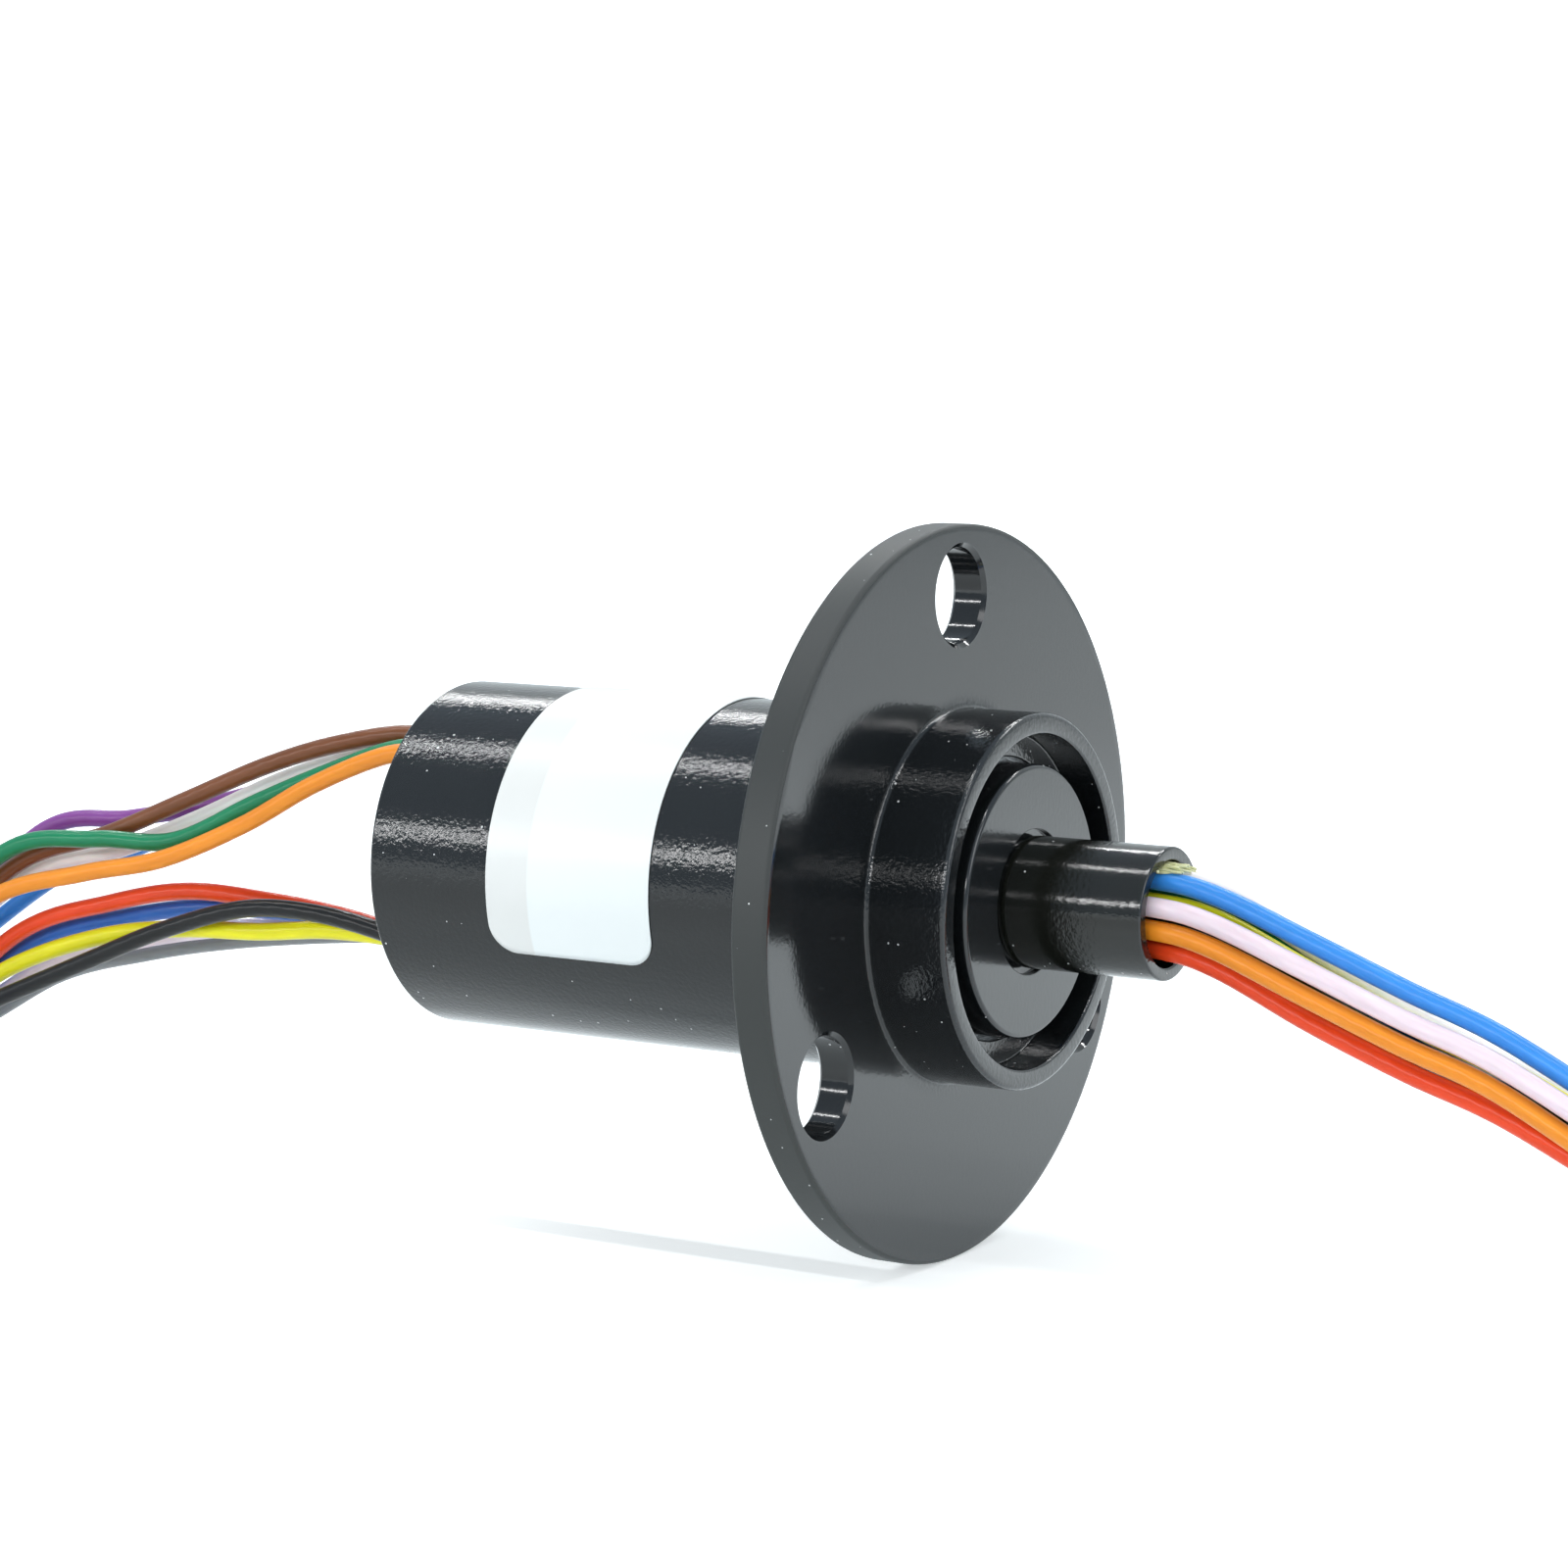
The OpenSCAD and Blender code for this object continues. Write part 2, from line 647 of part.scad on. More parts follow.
// Stations of one rotor lead, whose y goes from its bundle place to its lane.
function rotor_route(row) =
    let (y0 = row[1] * bundle_pitch,
         z0 = row[2] * bundle_pitch,
         heights = concat([z0, z0, z0], row[5], [level_z(row[4])]))
    [for (i = [0:len(rotor_steps) - 1])
        [potting_x + rotor_steps[i], y0 + (lane_y(row[3]) - y0) * rotor_fan[i], heights[i]]];

// A smooth curve through the stations that starts straight and ends along X.
function curve(stations) =
    let (n = len(stations) - 1,
         last = stations[n],
         before = stations[n - 1],
         q = concat([2 * stations[0] - stations[1]], stations,
                    [[2 * last[0] - before[0], before[1], before[2]]]))
    concat(
        [for (i = [1:n])
            let (steps = max(1, round(norm(q[i + 1] - q[i]) / lead_ring_gap)))
            for (j = [0:steps - 1]) between(q[i - 1], q[i], q[i + 1], q[i + 2], j / steps)],
        [last]
    );

// The point at share t of the way from p1 to p2, on the cubic set by all four.
function between(p0, p1, p2, p3, t) =
    (2 * p1 + (p2 - p0) * t + (2 * p0 - 5 * p1 + 4 * p2 - p3) * t * t
     + (3 * p1 - p0 - 3 * p2 + p3) * t * t * t) / 2;

// Direction of a path at point i. The last point keeps the direction along X.
function heading(path, i) =
    let (n = len(path) - 1,
         d = i == 0 ? path[1] - path[0]
           : i == n ? [path[n][0] - path[n - 1][0], 0, 0]
           : path[i + 1] - path[i - 1])
    d / norm(d);

// An eight-sided tube swept along a path that never runs along Y.
module swept_lead(path, tint) {
    n = len(path);
    m = lead_sides;
    points = [for (i = [0:n - 1])
        let (t = heading(path, i),
             side = cross(t, [0, 1, 0]),
             up = side / norm(side),
             across = cross(t, up))
        for (k = [0:m - 1])
            path[i] + lead_d / 2 * (cos(k * 360 / m) * up + sin(k * 360 / m) * across)];
    sides = [for (i = [0:n - 2]) for (k = [0:m - 1]) each [
        [i * m + k, i * m + (k + 1) % m, (i + 1) * m + (k + 1) % m],
        [i * m + k, (i + 1) * m + (k + 1) % m, (i + 1) * m + k]
    ]];
    start = [for (k = [m - 1:-1:0]) k];
    end = [for (k = [0:m - 1]) (n - 1) * m + k];
    color(tint) polyhedron(points, concat(sides, [start, end]));
}

module stator_lead(i) {
    swept_lead(curve(stator_route(stator_leads[i])), stator_leads[i][0]);
}

module rotor_lead(i) {
    swept_lead(curve(rotor_route(rotor_leads[i])), rotor_leads[i][0]);
}

// ---------- Hanks ----------

// Places the children where the leads reach a hank: they come in along +X and turn left.
module at_hank(entry_x, turn) {
    translate([entry_x, 0, hank_floor]) rotate([0, 0, turn]) children();
}

// Outline of one side of a hank: a run, the far end, the run back and part of the near end.
function hank_side(r) = concat(
    arc(hank_run, hank_r, r, -90, 90, 24),
    arc(0, hank_r, r, 90, 90 + hank_close, 16)
);

// Outer shape of the folded leads, open over the stretch where they come in.
module hank() {
    outer = hank_side(hank_r + hank_w / 2);
    inner = hank_side(hank_r - hank_w / 2);
    back = [for (i = [len(inner) - 1:-1:0]) inner[i]];
    color("darkslategray")
        linear_extrude(height = hank_h)
            polygon(concat([[0, -hank_w / 2]], outer, back, [[0, hank_w / 2]]));
}

// A thin band round each run, with its head on the inner side.
module hank_tie_set() {
    color("ivory") {
        hank_tie(0, 1, tie_places[0]);
        hank_tie(2 * hank_r, -1, tie_places[1]);
    }
}

// A tie round the run whose middle is at y, its head on the side that `inward` gives.
module hank_tie(y, inward, place) {
    half_w = hank_w / 2;
    x = hank_run * place;
    difference() {
        span(x - tie_w / 2, x + tie_w / 2, y - half_w - tie_t, y + half_w + tie_t, -tie_t, hank_h + tie_t);
        span(x - tie_w, x + tie_w, y - half_w, y + half_w, 0, hank_h);
    }
    head_y = y + inward * (half_w + tie_t / 2 + tie_head[1] / 2);
    head_z = (hank_h - tie_head[2]) / 2;
    translate([x - tie_head[0] / 2, head_y - tie_head[1] / 2, head_z]) cube(tie_head);
}

// ---------- Nodes ----------

housing();
rear_cap();
label();
bearing_retainer();
outer_race(front_bearing, front_x);  // front_bearing_outer_race
inner_race(front_bearing, front_x);  // front_bearing_inner_race
balls(front_bearing, front_x);  // front_bearing_balls
cage(front_bearing, front_x);  // front_bearing_cage
shields(front_bearing, front_x);  // front_bearing_shields
outer_race(rear_bearing, rear_x);  // rear_bearing_outer_race
inner_race(rear_bearing, rear_x);  // rear_bearing_inner_race
balls(rear_bearing, rear_x);  // rear_bearing_balls
cage(rear_bearing, rear_x);  // rear_bearing_cage
shields(rear_bearing, rear_x);  // rear_bearing_shields
rotor_hub();
rotor_circlip();
stack_collar();
lead_tube();
rotor_potting();
contact_rings(0);  // contact_rings_upper
contact_rings(1);  // contact_rings_lower
ring_spacers();
brush_board(1);  // brush_board_upper
brush_board(-1);  // brush_board_lower
brush_wires(1, 0);  // brush_wires_upper
brush_wires(-1, 1);  // brush_wires_lower
at_hank(stator_end_x, 180) hank();  // stator_hank
at_hank(stator_end_x, 180) hank_tie_set();  // stator_hank_ties
at_hank(rotor_end_x, 0) hank();  // rotor_hank
at_hank(rotor_end_x, 0) hank_tie_set();  // rotor_hank_ties
for (i = [0:11]) {
    stator_lead(i);
    rotor_lead(i);
}
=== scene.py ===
"""Dresses the packed slip ring: moulded housing, rotor, label, twenty-four leads and the stage."""

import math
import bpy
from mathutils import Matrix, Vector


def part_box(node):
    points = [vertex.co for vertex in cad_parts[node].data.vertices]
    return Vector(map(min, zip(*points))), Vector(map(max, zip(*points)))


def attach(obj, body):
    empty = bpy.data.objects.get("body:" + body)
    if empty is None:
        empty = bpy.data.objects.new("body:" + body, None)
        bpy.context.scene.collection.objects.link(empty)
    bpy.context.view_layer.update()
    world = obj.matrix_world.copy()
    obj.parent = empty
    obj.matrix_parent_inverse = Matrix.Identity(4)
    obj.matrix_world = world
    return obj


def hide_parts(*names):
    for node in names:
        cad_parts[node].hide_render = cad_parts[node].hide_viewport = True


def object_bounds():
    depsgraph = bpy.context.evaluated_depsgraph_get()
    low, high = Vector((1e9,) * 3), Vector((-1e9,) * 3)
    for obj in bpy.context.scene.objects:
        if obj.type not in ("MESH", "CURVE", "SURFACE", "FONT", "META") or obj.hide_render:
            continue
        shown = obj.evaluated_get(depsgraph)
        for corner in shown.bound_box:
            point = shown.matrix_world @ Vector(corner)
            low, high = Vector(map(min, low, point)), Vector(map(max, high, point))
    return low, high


bl_info = {
    "name": "Capsule slip ring",
    "version": (1, 0, 0),
    "blender": (4, 5, 0),
    "location": "View3D > Sidebar > Slip Ring",
    "description": "Builds a flanged capsule slip ring with loose colour-coded leads",
    "category": "Add Mesh",
}

from collections import namedtuple
from types import SimpleNamespace

import bmesh
import bpy
import numpy as np
from bpy.props import FloatProperty, FloatVectorProperty, IntProperty, PointerProperty
from bpy.types import Operator, Panel, PropertyGroup
from mathutils import Matrix, Vector

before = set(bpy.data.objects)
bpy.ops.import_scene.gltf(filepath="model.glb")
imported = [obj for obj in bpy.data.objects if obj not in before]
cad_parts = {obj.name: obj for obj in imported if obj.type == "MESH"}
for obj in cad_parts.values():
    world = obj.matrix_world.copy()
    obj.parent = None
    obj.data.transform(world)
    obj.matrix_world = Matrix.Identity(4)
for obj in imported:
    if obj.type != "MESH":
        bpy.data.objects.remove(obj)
CAD_BOX = [list(corner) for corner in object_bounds()]
MM = 0.001
Place = namedtuple("Place", "x y z")


def box(node):
    """The low and the high corner of a solid's box, in millimetres."""
    return [Place(*(c / MM for c in corner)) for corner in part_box(node)]


HOUSING_LOW, HOUSING_HIGH = box("housing")
LABEL_LOW, LABEL_HIGH = box("label")
TUBE_LOW, TUBE_HIGH = box("lead_tube")
HUB_LOW, HUB_HIGH = box("rotor_hub")
RACE_LOW, RACE_HIGH = box("front_bearing_outer_race")
INNER_LOW, INNER_HIGH = box("front_bearing_inner_race")
REAR_HIGH = box("rear_bearing_inner_race")[1]
STACK_HIGH = box("ring_spacers")[1]
COLLAR_LOW = box("stack_collar")[0]
CLIP_LOW = box("rotor_circlip")[0]
POTTING_LOW = box("rotor_potting")[0]
HANK_LOW = box("stator_hank")[0]


# ---------- Colours and nodes ----------


def linear(code):
    """Linear red, green and blue of an sRGB hex colour: the sRGB curve undone for each channel."""
    srgb = np.array([int(code[i : i + 2], 16) for i in (1, 3, 5)]) / 255
    return tuple(np.where(srgb <= 0.04045, srgb / 12.92, ((srgb + 0.055) / 1.055) ** 2.4).tolist())


def per(width):
    """Texture scale at which one feature of a pattern is that many millimetres wide."""
    return 1 / (width * MM)


def add(tree, kind, inputs=None, links=None, **settings):
    """Adds a node with its settings, its sockets' values, and links from other nodes' sockets."""
    node = tree.nodes.new("ShaderNode" + kind)
    for key, value in settings.items():
        setattr(node, key, value)
    for key, value in (inputs or {}).items():
        node.inputs[key].default_value = value
    for key, source in (links or {}).items():
        tree.links.new(source, node.inputs[key])
    return node


def put(tree, node, key, value):
    """Sets a socket: links it if the value is another node's socket, and else fills it in."""
    if isinstance(value, bpy.types.NodeSocket):
        tree.links.new(value, node.inputs[key])
    else:
        node.inputs[key].default_value = value


def calc(tree, operation, *values):
    """The result of a Math node; each value is a number or a socket."""
    node = add(tree, "Math", operation=operation)
    for k, value in enumerate(values):
        put(tree, node, k, value)
    return node.outputs[0]


def remap(tree, value, low, high, to_low=0.0, to_high=1.0, smooth=False):
    """A socket's value carried from the range low..high to to_low..to_high, held at the ends."""
    ends = {"From Min": low, "From Max": high, "To Min": to_low, "To Max": to_high}
    kind = "SMOOTHSTEP" if smooth else "LINEAR"
    return add(tree, "MapRange", ends, {"Value": value}, interpolation_type=kind).outputs[0]


def blend(tree, share, first, second):
    """Mixes two colours, each linear channels or a socket, by the share of the second."""
    node = add(tree, "Mix", links={0: share}, data_type="RGBA")
    for key, colour in ((6, first), (7, second)):
        put(tree, node, key, (*colour, 1) if isinstance(colour, tuple) else colour)
    return node.outputs[2]


def spread(tree, value, roughness):
    """Roughness that a noise moves from 0.8 to 1.25 times its mean."""
    return remap(tree, value, 0.3, 0.7, roughness * 0.8, roughness * 1.25)


def noise(tree, where, scale, detail):
    """The value of a noise texture."""
    return add(tree, "TexNoise", {"Scale": scale, "Detail": detail}, {"Vector": where}).outputs[0]


def object_place(tree):
    """The place in the object's own axes, in metres."""
    return add(tree, "TexCoord").outputs["Object"]


def flat_place(tree):
    """The UV map, and its two parts."""
    uv = add(tree, "UVMap", uv_map="UVMap").outputs[0]
    split = add(tree, "SeparateXYZ", links={0: uv})
    return uv, split.outputs[0], split.outputs[1]


def relief(tree, height, strength, depth):
    """Bump of that depth in millimetres, as a normal."""
    node = add(tree, "Bump", {"Distance": depth * MM}, {"Height": height})
    put(tree, node, "Strength", strength)
    return node.outputs[0]


def wire_up(tree, shader, **sources):
    """Links sockets to the shader: colour, roughness and normal."""
    names = {"colour": "Base Color", "roughness": "Roughness", "normal": "Normal"}
    for key, source in sources.items():
        tree.links.new(source, shader.inputs[names[key]])


def start_material(name, sockets):
    """An empty material with one Principled shader, with constant values on its own sockets."""
    material = bpy.data.materials.get(name) or bpy.data.materials.new(name)
    material.use_nodes = True
    tree = material.node_tree
    tree.nodes.clear()
    shader = add(tree, "BsdfPrincipled", sockets)
    add(tree, "OutputMaterial", links={"Surface": shader.outputs[0]})
    return material, tree, shader


# ---------- Materials ----------

GRAIN_WIDTH = 0.28  # mm: real pits are 0.03 mm, and are drawn wider so that they show
DUST_CELL = 0.65  # mm


def moulded_plastic(name, colour, roughness, grain, dull_from=1.0):
    """Black glass-filled ABS, injection moulded in a fine-eroded tool.

    The skin is glossy, so it mirrors lamps and table, but its fine grain breaks each highlight
    into sparkles. Slow flow swirls change the gloss, edges are painted a little paler, partly as
    rubbing and partly as a painted highlight along them, and dust from the bench sits on it as
    white specks. Beyond the radius dull_from, in metres from the rotor axis, the skin is dull and
    paler, as on a rim that was trimmed of its flash.
    """
    material, tree, shader = start_material(name, {"IOR": 1.58, "Roughness": roughness})
    where = object_place(tree)
    # Flow swirls about 7 mm across.
    flow = noise(tree, where, per(7), 3.0)
    # Dust: nearly half the cells hold a speck, of up to 0.08 mm in radius.
    cells = add(tree, "TexVoronoi", {"Scale": per(DUST_CELL)}, {"Vector": where})
    chance = add(tree, "SeparateColor", links={"Color": cells.outputs["Color"]})
    radius = remap(tree, chance.outputs[0], 0.55, 1.0, 0.0, 0.12)
    speck = calc(tree, "GREATER_THAN", radius, cells.outputs["Distance"])
    # The edge attribute holds rubbing and a painted highlight along rounded edges.
    edge = add(tree, "Attribute", attribute_name="edge").outputs["Fac"]
    aside = add(tree, "VectorMath", {1: (0.0, 1.0, 1.0)}, {0: where}, operation="MULTIPLY")
    radial = add(tree, "VectorMath", links={0: aside.outputs[0]}, operation="LENGTH")
    from_axis = radial.outputs["Value"]
    trimmed = calc(tree, "GREATER_THAN", from_axis, dull_from)
    # Tone: the swirls lift the black by a shade, and edges by two, partly rubbing and partly a
    # painted highlight.
    swirl = blend(tree, flow, tuple(colour), tuple(c * 1.5 + 0.0015 for c in colour))
    rubbed_edge_sheen = blend(tree, edge, swirl, linear("#23272a"))
    skin = blend(tree, trimmed, rubbed_edge_sheen, linear("#272b2a"))
    dusty = blend(tree, speck, skin, linear("#d9dee0"))
    gloss = spread(tree, flow, roughness)
    dulled = add(tree, "Mix", {3: 0.52}, {0: trimmed, 2: gloss}, data_type="FLOAT").outputs[0]
    pits = noise(tree, where, per(GRAIN_WIDTH), 3.0)
    # The flange's half of the tool is smoother than the barrel's, beyond 12 mm from the axis.
    depth = remap(tree, from_axis, 0.0114, 0.0122, 0.9, 0.15)
    normal = relief(tree, pits, depth, grain)
    wire_up(tree, shader, colour=dusty, roughness=dulled, normal=normal)
    return material


def label_film():
    """White polyester label film: satin, faintly pebbled by its glue, with a cooler printed panel.

    UV runs along the label and round the barrel, in millimetres.
    """
    material, tree, shader = start_material(
        "satin_polyester_film", {"IOR": 1.6, "Roughness": 0.32, "Specular IOR Level": 0.5}
    )
    uv, along, _ = flat_place(tree)
    # The margin is the first 3 mm of the label's length.
    tone = blend(tree, remap(tree, along, 3.0, 3.15), linear("#e2e7e7"), linear("#ebf4f6"))
    # Glue pebbles about 0.8 mm across.
    pebbles = noise(tree, uv, 1 / 0.8, 1.0)
    wire_up(tree, shader, colour=tone, normal=relief(tree, pebbles, 0.4, 0.004))
    return material


def strand_ridges(tree, around, along, twist):
    """Seven strands that wind round the lead once in that many millimetres, as ridges."""
    lay = calc(tree, "MULTIPLY", around, 7 * 2 * math.pi)
    wound = calc(tree, "MULTIPLY_ADD", along, 7 * 2 * math.pi / twist, lay)
    return calc(tree, "SINE", wound)


def lead_insulation(name, code):
    """Extruded FEP over seven twisted strands: glossy, slightly translucent, its dye uneven.

    UV is the turn round the lead and the millimetres along it.
    """
    colour = linear(code)
    material, tree, shader = start_material(
        "extruded_fep_" + name,
        {"IOR": 1.4, "Roughness": 0.28, "Subsurface Weight": 0.12, "Subsurface Scale": 0.3 * MM},
    )
    uv, around, along = flat_place(tree)
    # Dye: streaks about 5 mm long and a sixth of a turn wide.
    stretch = add(tree, "Mapping", {"Scale": (6.0, 0.2, 1.0)}, {"Vector": uv})
    streaks = noise(tree, stretch.outputs[0], 1.0, 3.0)
    pale = tuple(min(1.0, c * 1.18 + 0.004) for c in colour)
    dye = blend(tree, streaks, tuple(c * 0.72 for c in colour), pale)
    # The strands press through the insulation.
    normal = relief(tree, strand_ridges(tree, around, along, 11), 0.5, 0.006)
    wire_up(tree, shader, colour=dye, normal=normal)
    return material


def grained(name, codes, metallic, roughness, width, depth, stretch=(1, 1, 1), **sockets):
    """Two tones mixed by a noise of that width in millimetres, which also gives the relief."""
    start = {"Metallic": metallic, "Roughness": roughness, **sockets}
    material, tree, shader = start_material(name, start)
    placed = add(tree, "Mapping", {"Scale": stretch}, {"Vector": object_place(tree)})
    grain = noise(tree, placed.outputs[0], per(width), 4.0)
    tone = blend(tree, grain, linear(codes[0]), linear(codes[1]))
    gloss = spread(tree, grain, roughness)
    normal = relief(tree, grain, 0.6, depth)
    wire_up(tree, shader, colour=tone, roughness=gloss, normal=normal)
    return material


def board_laminate():
    """FR-4 circuit board: glass cloth under green solder mask, its weave faintly in relief."""
    material, tree, shader = start_material("fr4_laminate", {"IOR": 1.55, "Roughness": 0.35})
    where = object_place(tree)
    # Threads of the glass cloth are 0.5 mm apart; a wave texture has 20 bands to the unit.
    weave = {"Scale": per(0.5) / 20, "Distortion": 0.4}
    warp, weft = (
        add(tree, "TexWave", weave, {"Vector": where}, bands_direction=way).outputs["Fac"]
        for way in "XY"
    )
    cloth = calc(tree, "MULTIPLY", warp, weft)
    tone = blend(tree, cloth, linear("#12452b"), linear("#1f6a3f"))
    wire_up(tree, shader, colour=tone, normal=relief(tree, cloth, 0.5, 0.01))
    return material


def tie_nylon():
    """Natural nylon 6.6 cable tie: milky, waxy, with the strap's cross ridges.

    UV runs round the strap and across it, in millimetres.
    """
    material, tree, shader = start_material(
        "natural_nylon",
        {"IOR": 1.53, "Roughness": 0.38, "Subsurface Weight": 0.35, "Subsurface Scale": 0.8 * MM},
    )
    _, round_strap, _ = flat_place(tree)
    cloud = noise(tree, object_place(tree), per(2.5), 3.0)
    tone = blend(tree, cloud, linear("#d9d8cc"), linear("#ecebe3"))
    # Ridges 0.7 mm apart.
    ridges = calc(tree, "SINE", calc(tree, "MULTIPLY", round_strap, 2 * math.pi / 0.7))
    wire_up(tree, shader, colour=tone, normal=relief(tree, ridges, 0.5, 0.04))
    return material


def tinned_copper():
    """Tinned copper strands, twisted and dipped: bright grey metal with the strands' lay."""
    material, tree, shader = start_material(
        "tinned_copper", {"Metallic": 1.0, "Roughness": 0.25, "Base Color": (*linear("#c9ccce"), 1)}
    )
    _, around, along = flat_place(tree)
    ridges = strand_ridges(tree, around, along, 5)
    wire_up(tree, shader, normal=relief(tree, ridges, 0.8, 0.04))
    return material


def aramid_fibre():
    """Aramid filler yarn from inside the bundle: pale yellow-green, silky, a little uneven."""
    soft = {"Subsurface Weight": 0.2}
    return grained("aramid_yarn", ("#c9cf8a", "#eef0c4"), 0.0, 0.45, 0.4, 0.004, **soft)


# ---------- Shapes ----------


def rounded(corners, radii, steps=6):
    """Profile with its corners rounded: points (corner, step, 2), and each one's rubbing and
    painted edge highlight.

    At a corner P with unit sides a and b and half angle h between them, the arc of radius r has
    its centre at P + r / sin h along the bisector, and its points swing from the foot on a to the
    foot on b in equal angles.
    """
    p = np.array(corners, float)
    r = np.array(radii, float)[:, None]
    a = np.roll(p, 1, 0) - p
    b = np.roll(p, -1, 0) - p
    a /= np.linalg.norm(a, axis=1, keepdims=True)
    b /= np.linalg.norm(b, axis=1, keepdims=True)
    half = np.arccos(np.clip((a * b).sum(1, keepdims=True), -1, 1)) / 2
    bisector = (a + b) / np.linalg.norm(a + b, axis=1, keepdims=True)
    centre = p + bisector * r / np.sin(half)
    first = p + a * r / np.tan(half) - centre
    last = p + b * r / np.tan(half) - centre
    swing = (math.pi - 2 * half)[:, None]
    w = np.linspace(0, 1, steps)[None, :, None]
    arc = first[:, None] * np.sin((1 - w) * swing) + last[:, None] * np.sin(w * swing)
    # Rubbing and painted edge highlight, strongest halfway round each rounding.
    wear_and_sheen = np.sin(math.pi * w[..., 0]) * (r > 0)
    return centre[:, None] + arc / np.sin(swing), wear_and_sheen


def turned(profile, turn):
    """Surface of revolution about X: (s, a) goes to x(s), r(s) sin a, r(s) cos a."""
    x, r = profile[..., 0, None], profile[..., 1, None]
    return np.stack([x + 0 * turn, r * np.sin(turn), r * np.cos(turn)], -1)


def quads(m, n, wrap_rows, wrap_columns):
    """Corner indices and grid places of the quads of an m by n grid, closed where it wraps."""
    i = np.arange(m if wrap_rows else m - 1)[:, None]
    j = np.arange(n if wrap_columns else n - 1)[None]
    rows = np.stack([i + 0 * j, i + 1 + 0 * j, i + 1 + 0 * j, i + 0 * j], -1).reshape(-1, 4)
    columns = np.stack([j + 0 * i, j + 0 * i, j + 1 + 0 * i, j + 1 + 0 * i], -1).reshape(-1, 4)
    return (rows % m) * n + columns % n, rows, columns


def piece(name, sheets, materials, sharp=35):
    """One closed mesh from grids of points in millimetres.

    Each sheet is a dict: points (m, n, 3), wrap (rows, columns), wear_and_sheen (m, n), the rubbing
    and painted edge highlight at each point, uv as two arrays that give u by row and v by column,
    and tone, the material index by row. Grids that share an edge have the same points there, so
    merging doubles joins them, and the faces are then turned outwards.
    """
    points, faces, uvs, wear_and_sheen, tones, base = [], [], [], [], [], 0
    for sheet in sheets:
        grid = sheet["points"]
        m, n = grid.shape[:2]
        corners, rows, columns = quads(m, n, *sheet["wrap"])
        points.append(grid.reshape(-1, 3) * MM)
        faces.append(corners + base)
        u, v = sheet.get("uv", (np.zeros(m + 1), np.zeros(n + 1)))
        uvs.append(np.stack([v[columns], u[rows]], -1).reshape(-1, 2))
        wear_and_sheen.append(np.broadcast_to(sheet.get("wear_and_sheen", 0.0), (m, n)).reshape(-1))
        tones.append(np.asarray(sheet.get("tone", np.zeros(m + 1, int)))[rows[:, 0]])
        base += m * n
    mesh = bpy.data.meshes.new(name)
    mesh.from_pydata(np.concatenate(points).tolist(), [], np.concatenate(faces).tolist())
    layer = mesh.uv_layers.new(name="UVMap")
    layer.data.foreach_set("uv", np.concatenate(uvs).astype(np.float32).ravel())
    # The edge attribute: rubbing and a painted highlight at each point.
    edge = mesh.attributes.new("edge", "FLOAT", "POINT")
    edge.data.foreach_set("value", np.concatenate(wear_and_sheen).astype(np.float32))
    mesh.polygons.foreach_set("material_index", np.concatenate(tones).astype(np.int32))
    work = bmesh.new()
    work.from_mesh(mesh)
    bmesh.ops.remove_doubles(work, verts=work.verts, dist=0.0005 * MM)
    bmesh.ops.recalc_face_normals(work, faces=work.faces)
    work.to_mesh(mesh)
    work.free()
    mesh.shade_smooth()
    mesh.set_sharp_from_angle(angle=math.radians(sharp))
    for material in materials:
        mesh.materials.append(material)
    obj = bpy.data.objects.new(name, mesh)
    bpy.context.scene.collection.objects.link(obj)
    return obj


def belong(obj, body, slot, *nodes):
    """Says which body the piece rides and which solids it stands for; the slot is not used."""
    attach(obj, body)
    if nodes:
        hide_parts(*nodes)


def weighted(obj):
    """Lets large faces rule the shading normals, so that flats stay flat up to rounded edges."""
    modifier = obj.modifiers.new("even_shading", "WEIGHTED_NORMAL")
    modifier.keep_sharp = True
    modifier.weight = 100


def lathe(name, corners, steps, segments, sheened_corners, material):
    """Closed turned piece with corners (x, radius, rounding), rubbed at the corners in
    sheened_corners, with a painted edge highlight there.
    """
    arcs, wear_and_sheen = rounded([c[:2] for c in corners], [c[2] for c in corners], steps)
    turn = np.linspace(0, 2 * math.pi, segments, endpoint=False)
    wear_and_sheen = wear_and_sheen * np.isin(np.arange(len(corners)), sheened_corners)[:, None]
    points = turned(arcs.reshape(-1, 2), turn)
    sheet = {"points": points, "wrap": (True, True), "wear_and_sheen": wear_and_sheen.reshape(-1, 1)}
    obj = piece(name, [sheet], [material], sharp=40)
    weighted(obj)
    return obj


def rectangle(half_x, half_y, corner, steps):
    """Outline of a rounded rectangle about the origin."""
    corners = [(-half_x, -half_y), (half_x, -half_y), (half_x, half_y), (-half_x, half_y)]
    return rounded(corners, [corner] * 4, steps)[0].reshape(-1, 2)


def prism(middle, plan, levels):
    """Upright form at x = middle: at each (scale, height) of the levels, its outline so scaled."""
    scale, z = (np.array(column)[:, None] for column in zip(*levels))
    return np.stack([middle + plan[:, 0] * scale, plan[:, 1] * scale, z + 0 * plan[:, 0]], -1)


